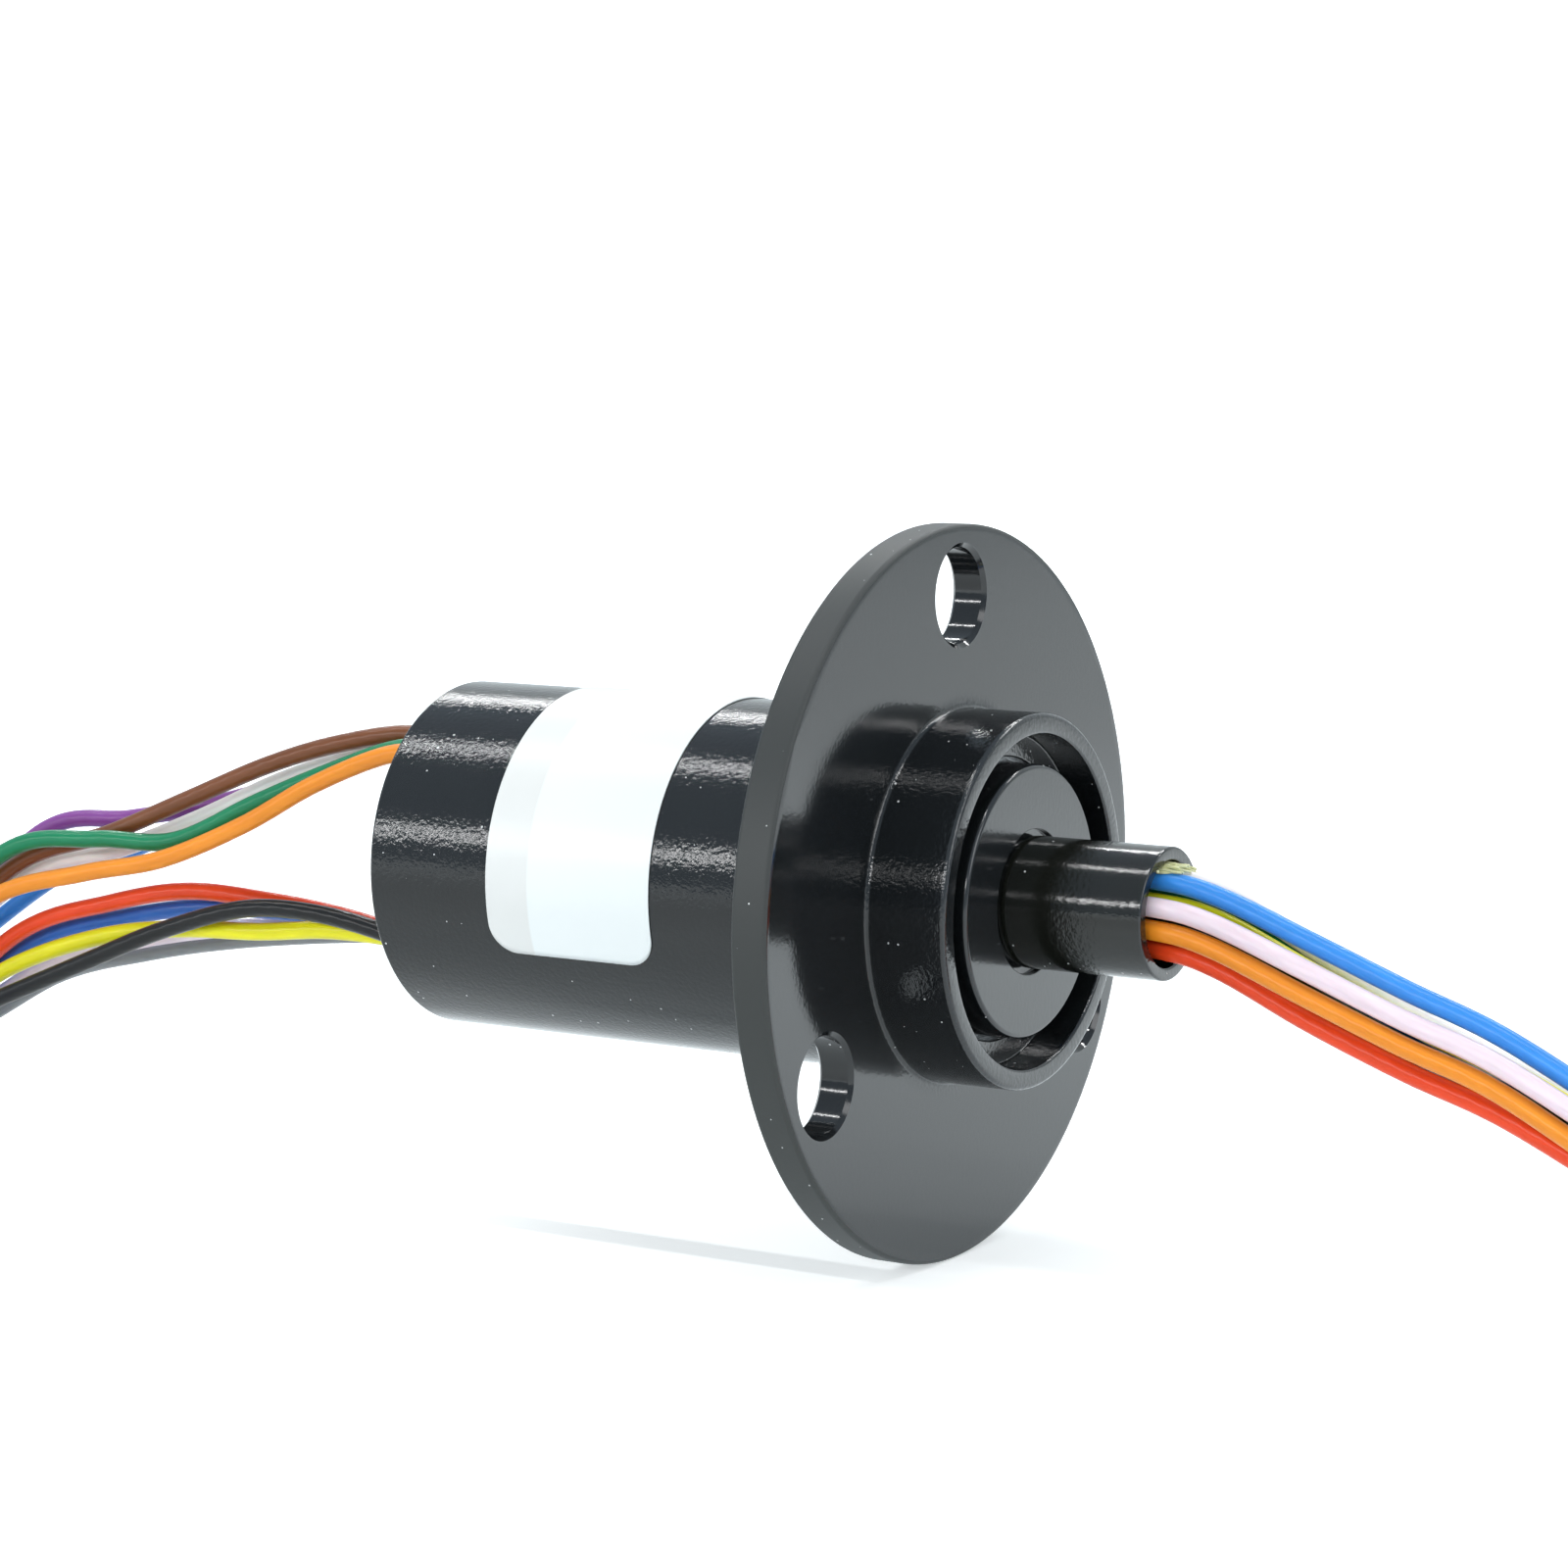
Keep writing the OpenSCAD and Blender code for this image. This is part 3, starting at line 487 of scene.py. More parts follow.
def flange_plate(x, inner_r, outer_r, hole_r, circle_r, count, segments, rows=9):
    """Flat annulus with round holes, as one ruled grid for each hole.

    In polar coordinates a hole's share of the annulus is a rectangle. Line k of the grid runs
    from a point of the hole's circle to a point of that rectangle's outline, straight in radius
    and angle, so that the outline's points fall on those of the turned walls beside it.
    """
    span = math.pi / count
    across = segments // count
    down = 12  # steps of a share's straight sides
    # Half the arc of a hole that faces the rim, and as much of it that faces the axis.
    facing = math.radians(62)
    outer = np.linspace(-1, 1, across, endpoint=False)
    side = np.linspace(0, 1, down, endpoint=False)
    outline = np.concatenate(
        [
            np.stack([np.full(across, outer_r), outer * span], -1),
            np.stack([outer_r + (inner_r - outer_r) * side, np.full(down, span)], -1),
            np.stack([np.full(across, inner_r), -outer * span], -1),
            np.stack([inner_r + (outer_r - inner_r) * side, np.full(down, -span)], -1),
        ]
    )
    theta = np.concatenate(
        [
            outer * facing,
            facing + side * (math.pi - 2 * facing),
            math.pi + outer * facing,
            math.pi + facing + side * (math.pi - 2 * facing),
        ]
    )
    hole = np.stack([circle_r + hole_r * np.cos(theta), hole_r * np.sin(theta)], -1)
    polar = np.stack([np.hypot(*hole.T), np.arctan2(hole[:, 1], hole[:, 0])], -1)
    # The rows crowd towards the hole.
    w = np.linspace(0, 1, rows)[:, None, None] ** 1.6
    r, a = np.moveaxis(polar * (1 - w) + outline * w, -1, 0)
    sheets = []
    for turn in np.arange(count) * 2 * span:
        grid = np.stack([np.full(r.shape, x), r * np.sin(a + turn), r * np.cos(a + turn)], -1)
        sheets.append({"points": grid, "wrap": (False, True)})
    return sheets, theta


def hole_walls(stations, circle_r, count, theta):
    """Walls of the bolt holes: rings of those radii at those x, about each hole's own axis."""
    x, radius = (np.array(c)[:, None] for c in zip(*stations))
    out = circle_r + radius * np.cos(theta)
    aside = radius * np.sin(theta)
    # Rubbing and a painted edge highlight on both rims of each hole.
    wear_and_sheen = np.array([0.6] + [0.0] * (len(stations) - 2) + [0.6])[:, None]
    sheets = []
    for turn in np.arange(count) * 2 * math.pi / count:
        y = out * math.sin(turn) + aside * math.cos(turn)
        z = out * math.cos(turn) - aside * math.sin(turn)
        grid = np.stack([x + 0 * y, y, z], -1)
        sheets.append({"points": grid, "wrap": (False, True), "wear_and_sheen": wear_and_sheen})
    return sheets


def smooth_line(stations, steps=24):
    """Cubic through the stations that starts straight and ends along X, as in the solids."""
    p = np.array(stations, float)
    after = np.array([2 * p[-1, 0] - p[-2, 0], p[-2, 1], p[-2, 2]])
    q = np.concatenate([[2 * p[0] - p[1]], p, [after]])
    t = np.linspace(0, 1, steps, endpoint=False)[None, :, None]
    a, b, c, d = (q[k : len(q) - 3 + k, None] for k in range(4))
    line = 2 * b + (c - a) * t + (2 * a - 5 * b + 4 * c - d) * t**2 + (3 * b - a - 3 * c + d) * t**3
    return np.concatenate([line.reshape(-1, 3) / 2, p[-1:]])


def evenly(line, length, step):
    """The line cut to that length, at equal steps of about that size, and each point's distance."""
    run = np.concatenate([[0], np.linalg.norm(np.diff(line, axis=0), axis=1).cumsum()])
    at = np.linspace(0, length, int(round(length / step)) + 1)
    return np.stack([np.interp(at, run, line[:, k]) for k in range(3)], -1), at


def swept(line, at, radii, sides=16):
    """Tube round a line that is never upright: centre + r (cos k side + sin k up).

    The side is level, and up is square to it and to the line.
    """
    t = np.gradient(line, at, axis=0)
    t /= np.linalg.norm(t, axis=1, keepdims=True)
    side = np.cross(t, [0, 0, 1])
    side /= np.linalg.norm(side, axis=1, keepdims=True)
    up = np.cross(side, t)
    k = np.linspace(0, 2 * math.pi, sides, endpoint=False)[None, :, None]
    ring = np.cos(k) * side[:, None] + np.sin(k) * up[:, None]
    return line[:, None] + radii[:, None, None] * ring


# ---------- Settings ----------


def size(name, description, default, low, high):
    """A length in metres that a user may change."""
    return FloatProperty(
        name=name,
        description=description,
        default=default,
        min=low,
        max=high,
        unit="LENGTH",
        precision=5,
    )


def tint(name, description, code):
    """A colour that a user may change."""
    return FloatVectorProperty(
        name=name,
        description=description,
        default=linear(code),
        min=0,
        max=1,
        size=3,
        subtype="COLOR",
    )


def number(name, description, default, low, high):
    """A whole number that a user may change."""
    return IntProperty(name=name, description=description, default=default, min=low, max=high)


class SLIPRING_PG_housing(PropertyGroup):
    """Sizes and colour of the housing moulding."""

    flange_d: size("Flange diameter", "Across the flange", 2 * HOUSING_HIGH.z * MM, 0.03, 0.08)
    flange_t: size("Flange thickness", "Thickness of the mounting flange", 0.0023, 0.001, 0.006)
    barrel_d: size("Barrel diameter", "Outer diameter of the barrel", 0.022, 0.015, 0.03)
    barrel_wall: size("Barrel wall", "Wall of the barrel", 0.0016, 0.001, 0.003)
    boss_d: size("Boss diameter", "Across the boss before the flange", 0.0225, 0.015, 0.04)
    mouth_d: size("Mouth diameter", "Diameter of the recess in the boss", 0.02, 0.012, 0.03)
    lip_front: size("Lip", "Place of the front of the lip along the axis", 0.0051, 0.002, 0.02)
    lip_bore_d: size("Lip bore", "Bore of the lip before the bearing", 0.017, 0.01, 0.03)
    circle_d: size("Bolt circle", "Diameter of the circle of bolt holes", 0.036, 0.02, 0.06)
    hole_d: size("Bolt hole", "Diameter of a bolt hole", 0.0058, 0.002, 0.01)
    hole_chamfer: size("Hole chamfer", "Chamfer round a bolt hole", 0.00025, 0.0001, 0.001)
    edge_r: size("Edge radius", "Rounding of the outer edges", 0.0003, 0.0001, 0.001)
    holes: number("Bolt holes", "Number of bolt holes", 3, 2, 6)
    segments: number("Segments", "Steps of the turned surfaces", 192, 48, 384)
    colour: tint("Colour", "Colour of the housing's plastic", "#101315")


class SLIPRING_PG_rotor(PropertyGroup):
    """Sizes and colour of the rotor and its lead tube."""

    disc_d: size("Disc diameter", "Outer diameter of the rotor disc", 0.0164, 0.01, 0.03)
    root_gap: size("Root groove", "Width of the groove at the tube's root", 0.0004, 0.0001, 0.001)
    root_depth: size("Groove depth", "Depth of that groove", 0.0004, 0.0001, 0.001)
    seat_step: size("Seat step", "How much slimmer the hub's hold is", 0.0003, 0.0, 0.0005)
    journal_d: size("Front journal", "Journal in the front bearing", 0.012, 0.008, 0.016)
    rear_journal_d: size("Rear journal", "Journal in the rear bearing", 0.005, 0.003, 0.008)
    core_d: size("Core", "Diameter of the core under the contact rings", 0.0084, 0.006, 0.01)
    neck_front: size("Disc back", "Place of the disc's back along the axis", 0.0044, 0.004, 0.007)
    tube_d: size("Tube diameter", "Across the lead tube", 2 * TUBE_HIGH.z * MM, 0.004, 0.012)
    tube_bore: size("Tube bore", "Bore of the lead tube", 0.0063, 0.003, 0.01)
    edge_r: size("Edge radius", "Rounding of the disc's edge", 0.0003, 0.0001, 0.001)
    fibres: number("Filler fibres", "Number of fibres in the tube's mouth", 34, 0, 80)
    colour: tint("Colour", "Colour of the rotor's plastic", "#111416")
    tube_colour: tint("Tube colour", "Colour of the lead tube", "#10120f")


class SLIPRING_PG_label(PropertyGroup):
    """Sizes of the wrapped label."""

    corner_r: size("Corner radius", "Radius of the label's corners", 0.0019, 0.0, 0.005)
    lift: size("Lift", "How far the long edges are drawn up from the solid's", 0.0007, 0.0, 0.005)
    thickness: size("Thickness", "Thickness of the label film", 0.0001, 0.00005, 0.0005)


class SLIPRING_PG_leads(PropertyGroup):
    """Sizes of the loose leads and their hanks."""

    lead_d: size("Lead diameter", "Outside diameter of a lead", 0.0012, 0.0006, 0.003)
    length: size("Lead length", "Length of each lead", 0.25, 0.1, 1.0)
    pitch: size("Pitch", "Spacing of the leads in the hanks", 0.0013, 0.001, 0.004)
    hank_r: size("End radius", "Mean radius of a hank's ends", 0.0095, 0.006, 0.02)
    hank_run: size("Straight run", "Length of the straight runs of a hank", 0.031, 0.01, 0.06)
    bare_l: size("Stripped end", "Length of bare strands at a lead's end", 0.004, 0.001, 0.01)
    bare_d: size("Strand diameter", "Diameter of the bare strands", 0.00072, 0.0003, 0.002)


class SLIPRING_PG_stage(PropertyGroup):
    """Camera, lamps and floor."""

    lens: FloatProperty(name="Lens", description="Focal length, mm", default=92.72, min=20, max=300)
    light: FloatProperty(name="Light", description="Level of lamps", default=1.0, min=0.1, max=4)
    floor_colour: tint("Floor", "Colour of the floor and backdrop", "#ecf1f3")


def in_mm(group):
    """The settings of a group, with their lengths in millimetres."""
    values = {key: getattr(group, key) for key in group.__annotations__}
    return SimpleNamespace(
        **{k: v / MM if isinstance(v, float) else v for k, v in values.items()}
    )


# ---------- Stage ----------

# Camera: place, right and backward axes in the frame, whose up axis is square to both.
CAMERA_PLACE = (0.118606, -0.209786, 0.036740)
CAMERA_RIGHT = (0.85242, 0.52287, 0.0)
CAMERA_BACK = (0.51881, -0.84580, 0.12432)

# Floor that sweeps up into a backdrop: half width, front edge, backdrop's foot, sweep and top.
FLOOR_HALF, FLOOR_FRONT, FLOOR_BACK, SWEEP_R, BACKDROP_TOP = 2.2, -1.6, 1.3, 0.3, 1.6

# Lamps: name, place, point they face, width, height and power. Slim tubes along X, as in a light
# box: the glossy barrel mirrors each as a line.
LAMPS = [
    ("front_tube", (-0.25, -0.55, 0.19), (-0.25, 0, 0), 1.3, 0.026, 2.2),
    ("top_tube", (-0.15, -0.10, 0.60), (-0.15, 0, 0), 1.2, 0.012, 2.2),
    ("rear_tube", (-0.15, 0.45, 0.50), (-0.15, 0, 0), 1.2, 0.014, 2.8),
    ("right_panel", (0.75, -0.10, 0.35), (0, 0, 0), 0.4, 0.4, 1.4),
]


def lamp(name, place, aim, width, height, power):
    """A rectangular soft lamp at a place, turned towards a point, its width level."""
    data = bpy.data.lights.new(name, "AREA")
    data.shape = "RECTANGLE"
    data.size, data.size_y = width, height
    data.energy = power
    obj = bpy.data.objects.new(name, data)
    bpy.context.scene.collection.objects.link(obj)
    obj.location = place
    obj.rotation_mode = "QUATERNION"
    obj.rotation_quaternion = (Vector(aim) - Vector(place)).to_track_quat("-Z", "Y")


def paper(colour):
    """Cool pale background paper, white to the camera but with the part's shadow.

    In mirror images the paper before the barrel is painted half as bright, a painted shade for
    the shade of a table's edge; the paper glows in mirror images like the wall of a light tent,
    dimmer near the part and cooler than it looks to the camera, as painted light; and a painted
    glow on the paper behind on the right stands in for light bounced into the flange's front.
    """
    material = bpy.data.materials.new("background_paper")
    material.use_nodes = True
    tree = material.node_tree
    tree.nodes.clear()
    path = add(tree, "LightPath")
    camera, glossy = path.outputs["Is Camera Ray"], path.outputs["Is Glossy Ray"]
    where = object_place(tree)

    def distance(place):
        node = add(tree, "VectorMath", {1: place}, {0: where}, operation="DISTANCE")
        return node.outputs["Value"]

    away = distance((0.0, 0.0, 0.0))
    # Paper fibres 0.6 mm long, too faint to see but for a slight softness.
    bump = relief(tree, noise(tree, where, per(0.6), 3.0), 0.1, 0.02)
    # Painted shade: in mirror images the paper near the barrel is darkened to half its colour.
    shade = remap(tree, distance((-0.05, -0.13, 0.0)), 0.07, 0.26, 1.0, 0.0, smooth=True)
    painted_shade_in_mirrors = calc(tree, "MULTIPLY", shade, glossy)
    tone = blend(tree, painted_shade_in_mirrors, tuple(colour), tuple(c * 0.5 for c in colour))
    matt = add(
        tree,
        "BsdfPrincipled",
        {"Roughness": 0.6, "Specular IOR Level": 0.2},
        {"Base Color": tone, "Normal": bump},
    )
    lift = remap(tree, away, 0.1, 0.6, 0.5, 1.0)
    # Painted glow: in mirror images the paper shines, more the farther it is from the part.
    tent = remap(tree, away, 0.1, 0.5, 0.3, 0.55)
    # Painted glow behind on the right, seen only in mirror images, for light bounced into the
    # flange's front.
    card_glow = remap(tree, distance((0.06, 0.09, 0.0)), 0.02, 0.24, 0.6, 0.0, smooth=True)
    seen = calc(tree, "MULTIPLY", lift, camera)
    strength = calc(tree, "MULTIPLY_ADD", calc(tree, "ADD", tent, card_glow), glossy, seen)
    # The painted glow is cooler in mirror images than the white seen by the camera.
    tint_here = blend(tree, glossy, (0.94, 0.985, 1), (0.84, 0.95, 1))
    glow = add(tree, "Emission", links={"Color": tint_here, "Strength": strength})
    lifted = add(tree, "AddShader", links={0: matt.outputs[0], 1: glow.outputs[0]})
    add(tree, "OutputMaterial", links={"Surface": lifted.outputs[0]})
    return material


def studio():
    """World: white to the camera, plain light on matt skins, a dim cool room in mirror images."""
    world = bpy.data.worlds.new("studio")
    world.use_nodes = True
    tree = world.node_tree
    tree.nodes.clear()
    path = add(tree, "LightPath")
    seen, room, dim = (
        add(tree, "Background", {"Color": (*colour, 1), "Strength": strength}).outputs[0]
        for colour, strength in (((1, 1, 1), 1.0), ((1, 1, 1), 0.42), ((0.72, 0.86, 1), 0.6))
    )
    lit = add(tree, "MixShader", links={0: path.outputs["Is Glossy Ray"], 1: room, 2: dim})
    both = add(
        tree,
        "MixShader",
        links={0: path.outputs["Is Camera Ray"], 1: lit.outputs[0], 2: seen},
    )
    add(tree, "OutputWorld", links={"Surface": both.outputs[0]})
    return world


class SLIPRING_OT_stage(Operator):
    """Set up the camera, the pale floor and the soft lamps"""

    bl_idname = "slip_ring.stage"
    bl_label = "Stage"

    def execute(self, context):
        """The backdrop's sweep is a quarter circle: y + R sin a, R - R cos a above the floor."""
        settings = context.scene.slip_ring_stage
        scene = context.scene
        scene.view_settings.view_transform = "Standard"
        camera = bpy.data.objects.new("camera", bpy.data.cameras.new("camera"))
        scene.collection.objects.link(camera)
        right, back = Vector(CAMERA_RIGHT).normalized(), Vector(CAMERA_BACK).normalized()
        turn = Matrix((right, back.cross(right), back)).transposed()
        camera.matrix_world = Matrix.Translation(CAMERA_PLACE) @ turn.to_4x4()
        camera.data.lens = settings.lens
        camera.data.sensor_width = 36
        camera.data.clip_start, camera.data.clip_end = 0.01, 20
        scene.camera = camera
        floor_z = CAD_BOX[0][2] - 0.02 * MM
        a = np.linspace(0, math.pi / 2, 24)
        y = [[FLOOR_FRONT], FLOOR_BACK + SWEEP_R * np.sin(a), [FLOOR_BACK + SWEEP_R]]
        z = [[0], SWEEP_R - SWEEP_R * np.cos(a), [BACKDROP_TOP]]
        y, z = np.concatenate(y), np.concatenate(z) + floor_z
        x = np.linspace(-FLOOR_HALF, FLOOR_HALF, 3)
        grid = np.stack(np.broadcast_arrays(x[None], y[:, None], z[:, None]), -1)
        mesh = bpy.data.meshes.new("floor")
        corners, _, _ = quads(len(y), len(x), False, False)
        mesh.from_pydata(grid.reshape(-1, 3).tolist(), [], corners.tolist())
        mesh.shade_smooth()
        mesh.materials.append(paper(settings.floor_colour))
        floor = bpy.data.objects.new("floor", mesh)
        scene.collection.objects.link(floor)
        for name, place, aim, width, height, power in LAMPS:
            lamp(name, place, aim, width, height, power * settings.light)
        scene.world = studio()
        return {"FINISHED"}


# ---------- Leads ----------

LEAD_CODES = {
    "orange": "#f89426",
    "green": "#12855a",
    "brown": "#7b4a2c",
    "white": "#f4f4f4",
    "purple": "#8a4a9e",
    "light_blue": "#3a92ea",
    "black": "#151617",
    "yellow": "#f0ea1e",
    "red": "#ee4a1e",
    "blue": "#2f66c4",
    "pink": "#f4e0ec",
    "grey": "#8b8f93",
}

# Stator leads: colour, window (+1 upper, -1 lower), lane, and heights at the middle stations.
STATOR_X = [-31, -34, -38, -44, -50, -57, -64, -72, -82, -92]
WINDOW_Z = 6.6
STATOR_LEADS = [
    ("orange", 1, 0, [6.3, 4.0, 0.9, -1.9, -3.4, -5.6, -11.6]),
    ("green", 1, 1, [6.6, 4.6, 2.2, -0.8, -1.2, -2.6, -10.4]),
    ("brown", 1, 2, [7.4, 6.4, 4.6, 1.8, -1.0, -3.6, -10.8]),
    ("white", 1, 3, [7.0, 5.4, 3.4, 0.4, -2.2, -4.4, -11.2]),
    ("purple", 1, 4, [7.0, 5.2, 3.2, 1.2, -0.2, -1.6, -9.8]),
    ("light_blue", 1, 5, [7.0, 5.6, 3.6, 1.0, -2.2, -5.0, -11.4]),
    ("black", -1, 0, [-5.4, -4.5, -4.7, -6.7, -9.5, -12.8, -17.0]),
    ("yellow", -1, 1, [-5.9, -5.8, -6.4, -6.8, -8.0, -10.8, -16.4]),
    ("red", -1, 2, [-6.0, -5.0, -4.5, -4.4, -5.8, -8.4, -15.4]),
    ("blue", -1, 3, [-6.2, -5.6, -5.4, -5.7, -7.0, -9.4, -15.8]),
    ("pink", -1, 4, [-6.4, -6.4, -6.6, -7.4, -8.8, -11.2, -16.6]),
    ("grey", -1, 5, [-6.5, -6.8, -7.4, -8.4, -9.8, -12.0, -17.0]),
]

# Rotor leads: colour, place in the bundle in steps of its pitch, lane, level, and heights.
ROTOR_X = [3, 10, 16, 20, 26, 32, 38, 46, 54, 62]
ROTOR_FAN = [0, 0, 0, 0.3, 0.8, 1, 1, 1, 1, 1]
BUNDLE_PITCH = 1.35
ROTOR_LEADS = [
    ("light_blue", -0.5, 1.5, 1, 3, [1.4, -0.6, -2.8, -5.0, -9.2, -14.0]),
    ("pink", -1.5, 0.5, 0, 3, [0.1, -1.9, -4.1, -6.2, -10.3, -14.7]),
    ("orange", -1.5, -0.5, 0, 2, [-1.3, -3.4, -5.6, -7.7, -12.0, -16.3]),
    ("red", -0.5, -1.5, 1, 2, [-2.8, -5.2, -7.4, -9.4, -13.2, -16.8]),
    ("yellow", -0.5, 0.5, 2, 3, [-0.1, -2.7, -5.0, -7.2, -11.0, -14.9]),
    ("black", -0.5, -0.5, 2, 2, [-1.5, -4.1, -6.5, -8.7, -12.6, -16.4]),
    ("white", 0.5, 1.5, 3, 3, [1.2, -1.9, -5.0, -7.4, -11.0, -14.8]),
    ("brown", 0.5, -1.5, 3, 2, [-3.1, -5.5, -7.7, -9.7, -13.2, -16.7]),
    ("green", 0.5, 0.5, 4, 3, [-0.25, -3.0, -5.8, -8.0, -11.6, -15.0]),
    ("blue", 0.5, -0.5, 4, 2, [-1.7, -4.6, -7.3, -9.5, -13.1, -16.6]),
    ("purple", 1.5, 0.5, 5, 3, [-0.2, -3.2, -6.1, -8.4, -11.8, -15.0]),
    ("grey", 1.5, -0.5, 5, 2, [-1.6, -4.7, -7.6, -9.9, -13.3, -16.6]),
]


# The sink's start and span, as shares of the near end's half turn.
SINK_FROM, SINK_SPAN = 0.22, 0.53
LEAD_STEP = 0.7  # mm between the rings of a lead's tube


def hank_line(entry, side, lane_y, settings):
    """A lead folded into a hank: straight runs joined by half turns, sinking two levels once.

    At distance d the lead of radius r is on the run out, the far end, the run back or the near
    end, which are a line, an arc r (cos, sin) about (run, R), a line and an arc about (0, R).
    The sink follows 3w^2 - 2w^3 over the near end of the first turn.
    """
    mean, run, pitch = settings.hank_r, settings.hank_run, settings.pitch
    radius = mean + side * lane_y
    bend = math.pi * radius
    loop = 2 * (run + bend)
    d = np.arange(0, 2 * loop, 0.25)
    s = d % loop
    far = np.clip((s - run) / bend, 0, 1)
    near = np.clip((s - 2 * run - bend) / bend, 0, 1)
    swing = math.pi * (far + near) - math.pi / 2
    out = np.clip(s, 0, run) - np.clip(s - run - bend, 0, run)
    x = out + radius * np.cos(swing)
    y = mean + radius * np.sin(swing)
    w = np.clip((np.where(d < loop, near, 1) - SINK_FROM) / SINK_SPAN, 0, 1)
    z = entry[2] - 2 * pitch * w * w * (3 - 2 * w)
    return np.stack([entry[0] - side * x, -side * y, z], -1)


def lane(k, settings):
    """Distance of lane k from the middle of the hank's section."""
    return (k - 2.5) * settings.pitch


def level(k, settings):
    """Height of level k of the hank, whose floor is the top of the ties' straps."""
    return HANK_LOW.z + (k + 0.5) * settings.pitch


def make_lead(body, k, colour, stations, lane_y, settings, materials):
    """One lead: the free stretch, then the hank, cut to its length, with a bare end."""
    side = 1 if body == "stator" else -1
    free = smooth_line(stations)
    folded = hank_line(free[-1], side, lane_y, settings)
    length, bare = settings.length, settings.bare_l
    covered, at = evenly(np.concatenate([free, folded[1:]]), length, LEAD_STEP)
    cut = np.searchsorted(at, length - bare)
    order = np.concatenate([[0], np.arange(cut + 1), np.arange(cut, len(at)), [len(at) - 1]])
    half, strand = settings.lead_d / 2, settings.bare_d / 2
    radii = np.concatenate([[0], np.full(cut + 1, half), np.full(len(at) - cut, strand), [0]])
    tube = swept(covered, at, np.ones(len(at)))
    sheet = {
        "points": covered[order, None] + (tube - covered[:, None])[order] * radii[:, None, None],
        "wrap": (False, True),
        "uv": (np.append(at[order], length), np.linspace(0, 1, 17)),
        "tone": np.append((np.arange(len(order)) > cut).astype(int), 1),
    }
    skins = [materials[colour], materials["strands"]]
    lead = piece(f"{body}_lead_{colour}", [sheet], skins, sharp=50)
    belong(lead, body, f"lead_{colour}", f"{body}_lead_{k + 1:02d}", f"{body}_hank")


def lead_materials():
    """The insulation in every colour, and the tinned strands."""
    made = {name: lead_insulation(name, code) for name, code in LEAD_CODES.items()}
    made["strands"] = tinned_copper()
    return made


class SLIPRING_OT_stator_leads(Operator):
    """Lay the twelve leads of the stator from the rear windows to their hank"""

    bl_idname = "slip_ring.stator_leads"
    bl_label = "Stator leads"

    def execute(self, context):
        settings = in_mm(context.scene.slip_ring_leads)
        materials = lead_materials()
        for k, (colour, side, place, heights) in enumerate(STATOR_LEADS):
            y = lane(place, settings)
            z = side * WINDOW_Z
            last = level(3 if side > 0 else 2, settings)
            stations = [(sx, y, h) for sx, h in zip(STATOR_X, [z, z, *heights, last])]
            make_lead("stator", k, colour, stations, y, settings, materials)
        return {"FINISHED"}


class SLIPRING_OT_rotor_leads(Operator):
    """Lay the twelve leads of the rotor from the tube to their hank"""

    bl_idname = "slip_ring.rotor_leads"
    bl_label = "Rotor leads"

    def execute(self, context):
        settings = in_mm(context.scene.slip_ring_leads)
        materials = lead_materials()
        for k, (colour, by, bz, place, step, heights) in enumerate(ROTOR_LEADS):
            y0, z0 = by * BUNDLE_PITCH, bz * BUNDLE_PITCH
            y1 = lane(place, settings)
            z = [z0, z0, z0, *heights, level(step, settings)]
            stations = [(sx, y0 + (y1 - y0) * f, h) for sx, f, h in zip(ROTOR_X, ROTOR_FAN, z)]
            make_lead("rotor", k, colour, stations, y1, settings, materials)
        return {"FINISHED"}


TIE_PLACES = (0.35, 0.65)  # shares of the straight runs
STRAP_THICK, STRAP_WIDTH = 0.4, 2.4  # mm
# Head of a tie, 3.6 by 3.2 by 3.4 mm, drawn in at top and bottom, and the strap's cut end, which
# stands 1.1 mm out of it: (scale of the outline, height) from the bottom up.
HEAD_LEVELS = [
    (0, -1.7),
    (0.86, -1.7),
    (0.96, -1.6),
    (1, -1.4),
    (1, 1.4),
    (0.96, 1.6),
    (0.86, 1.7),
    (0, 1.7),
]
TAIL_LEVELS = [(0, 1.2), (1, 1.2), (1, 2.6), (0, 2.6)]


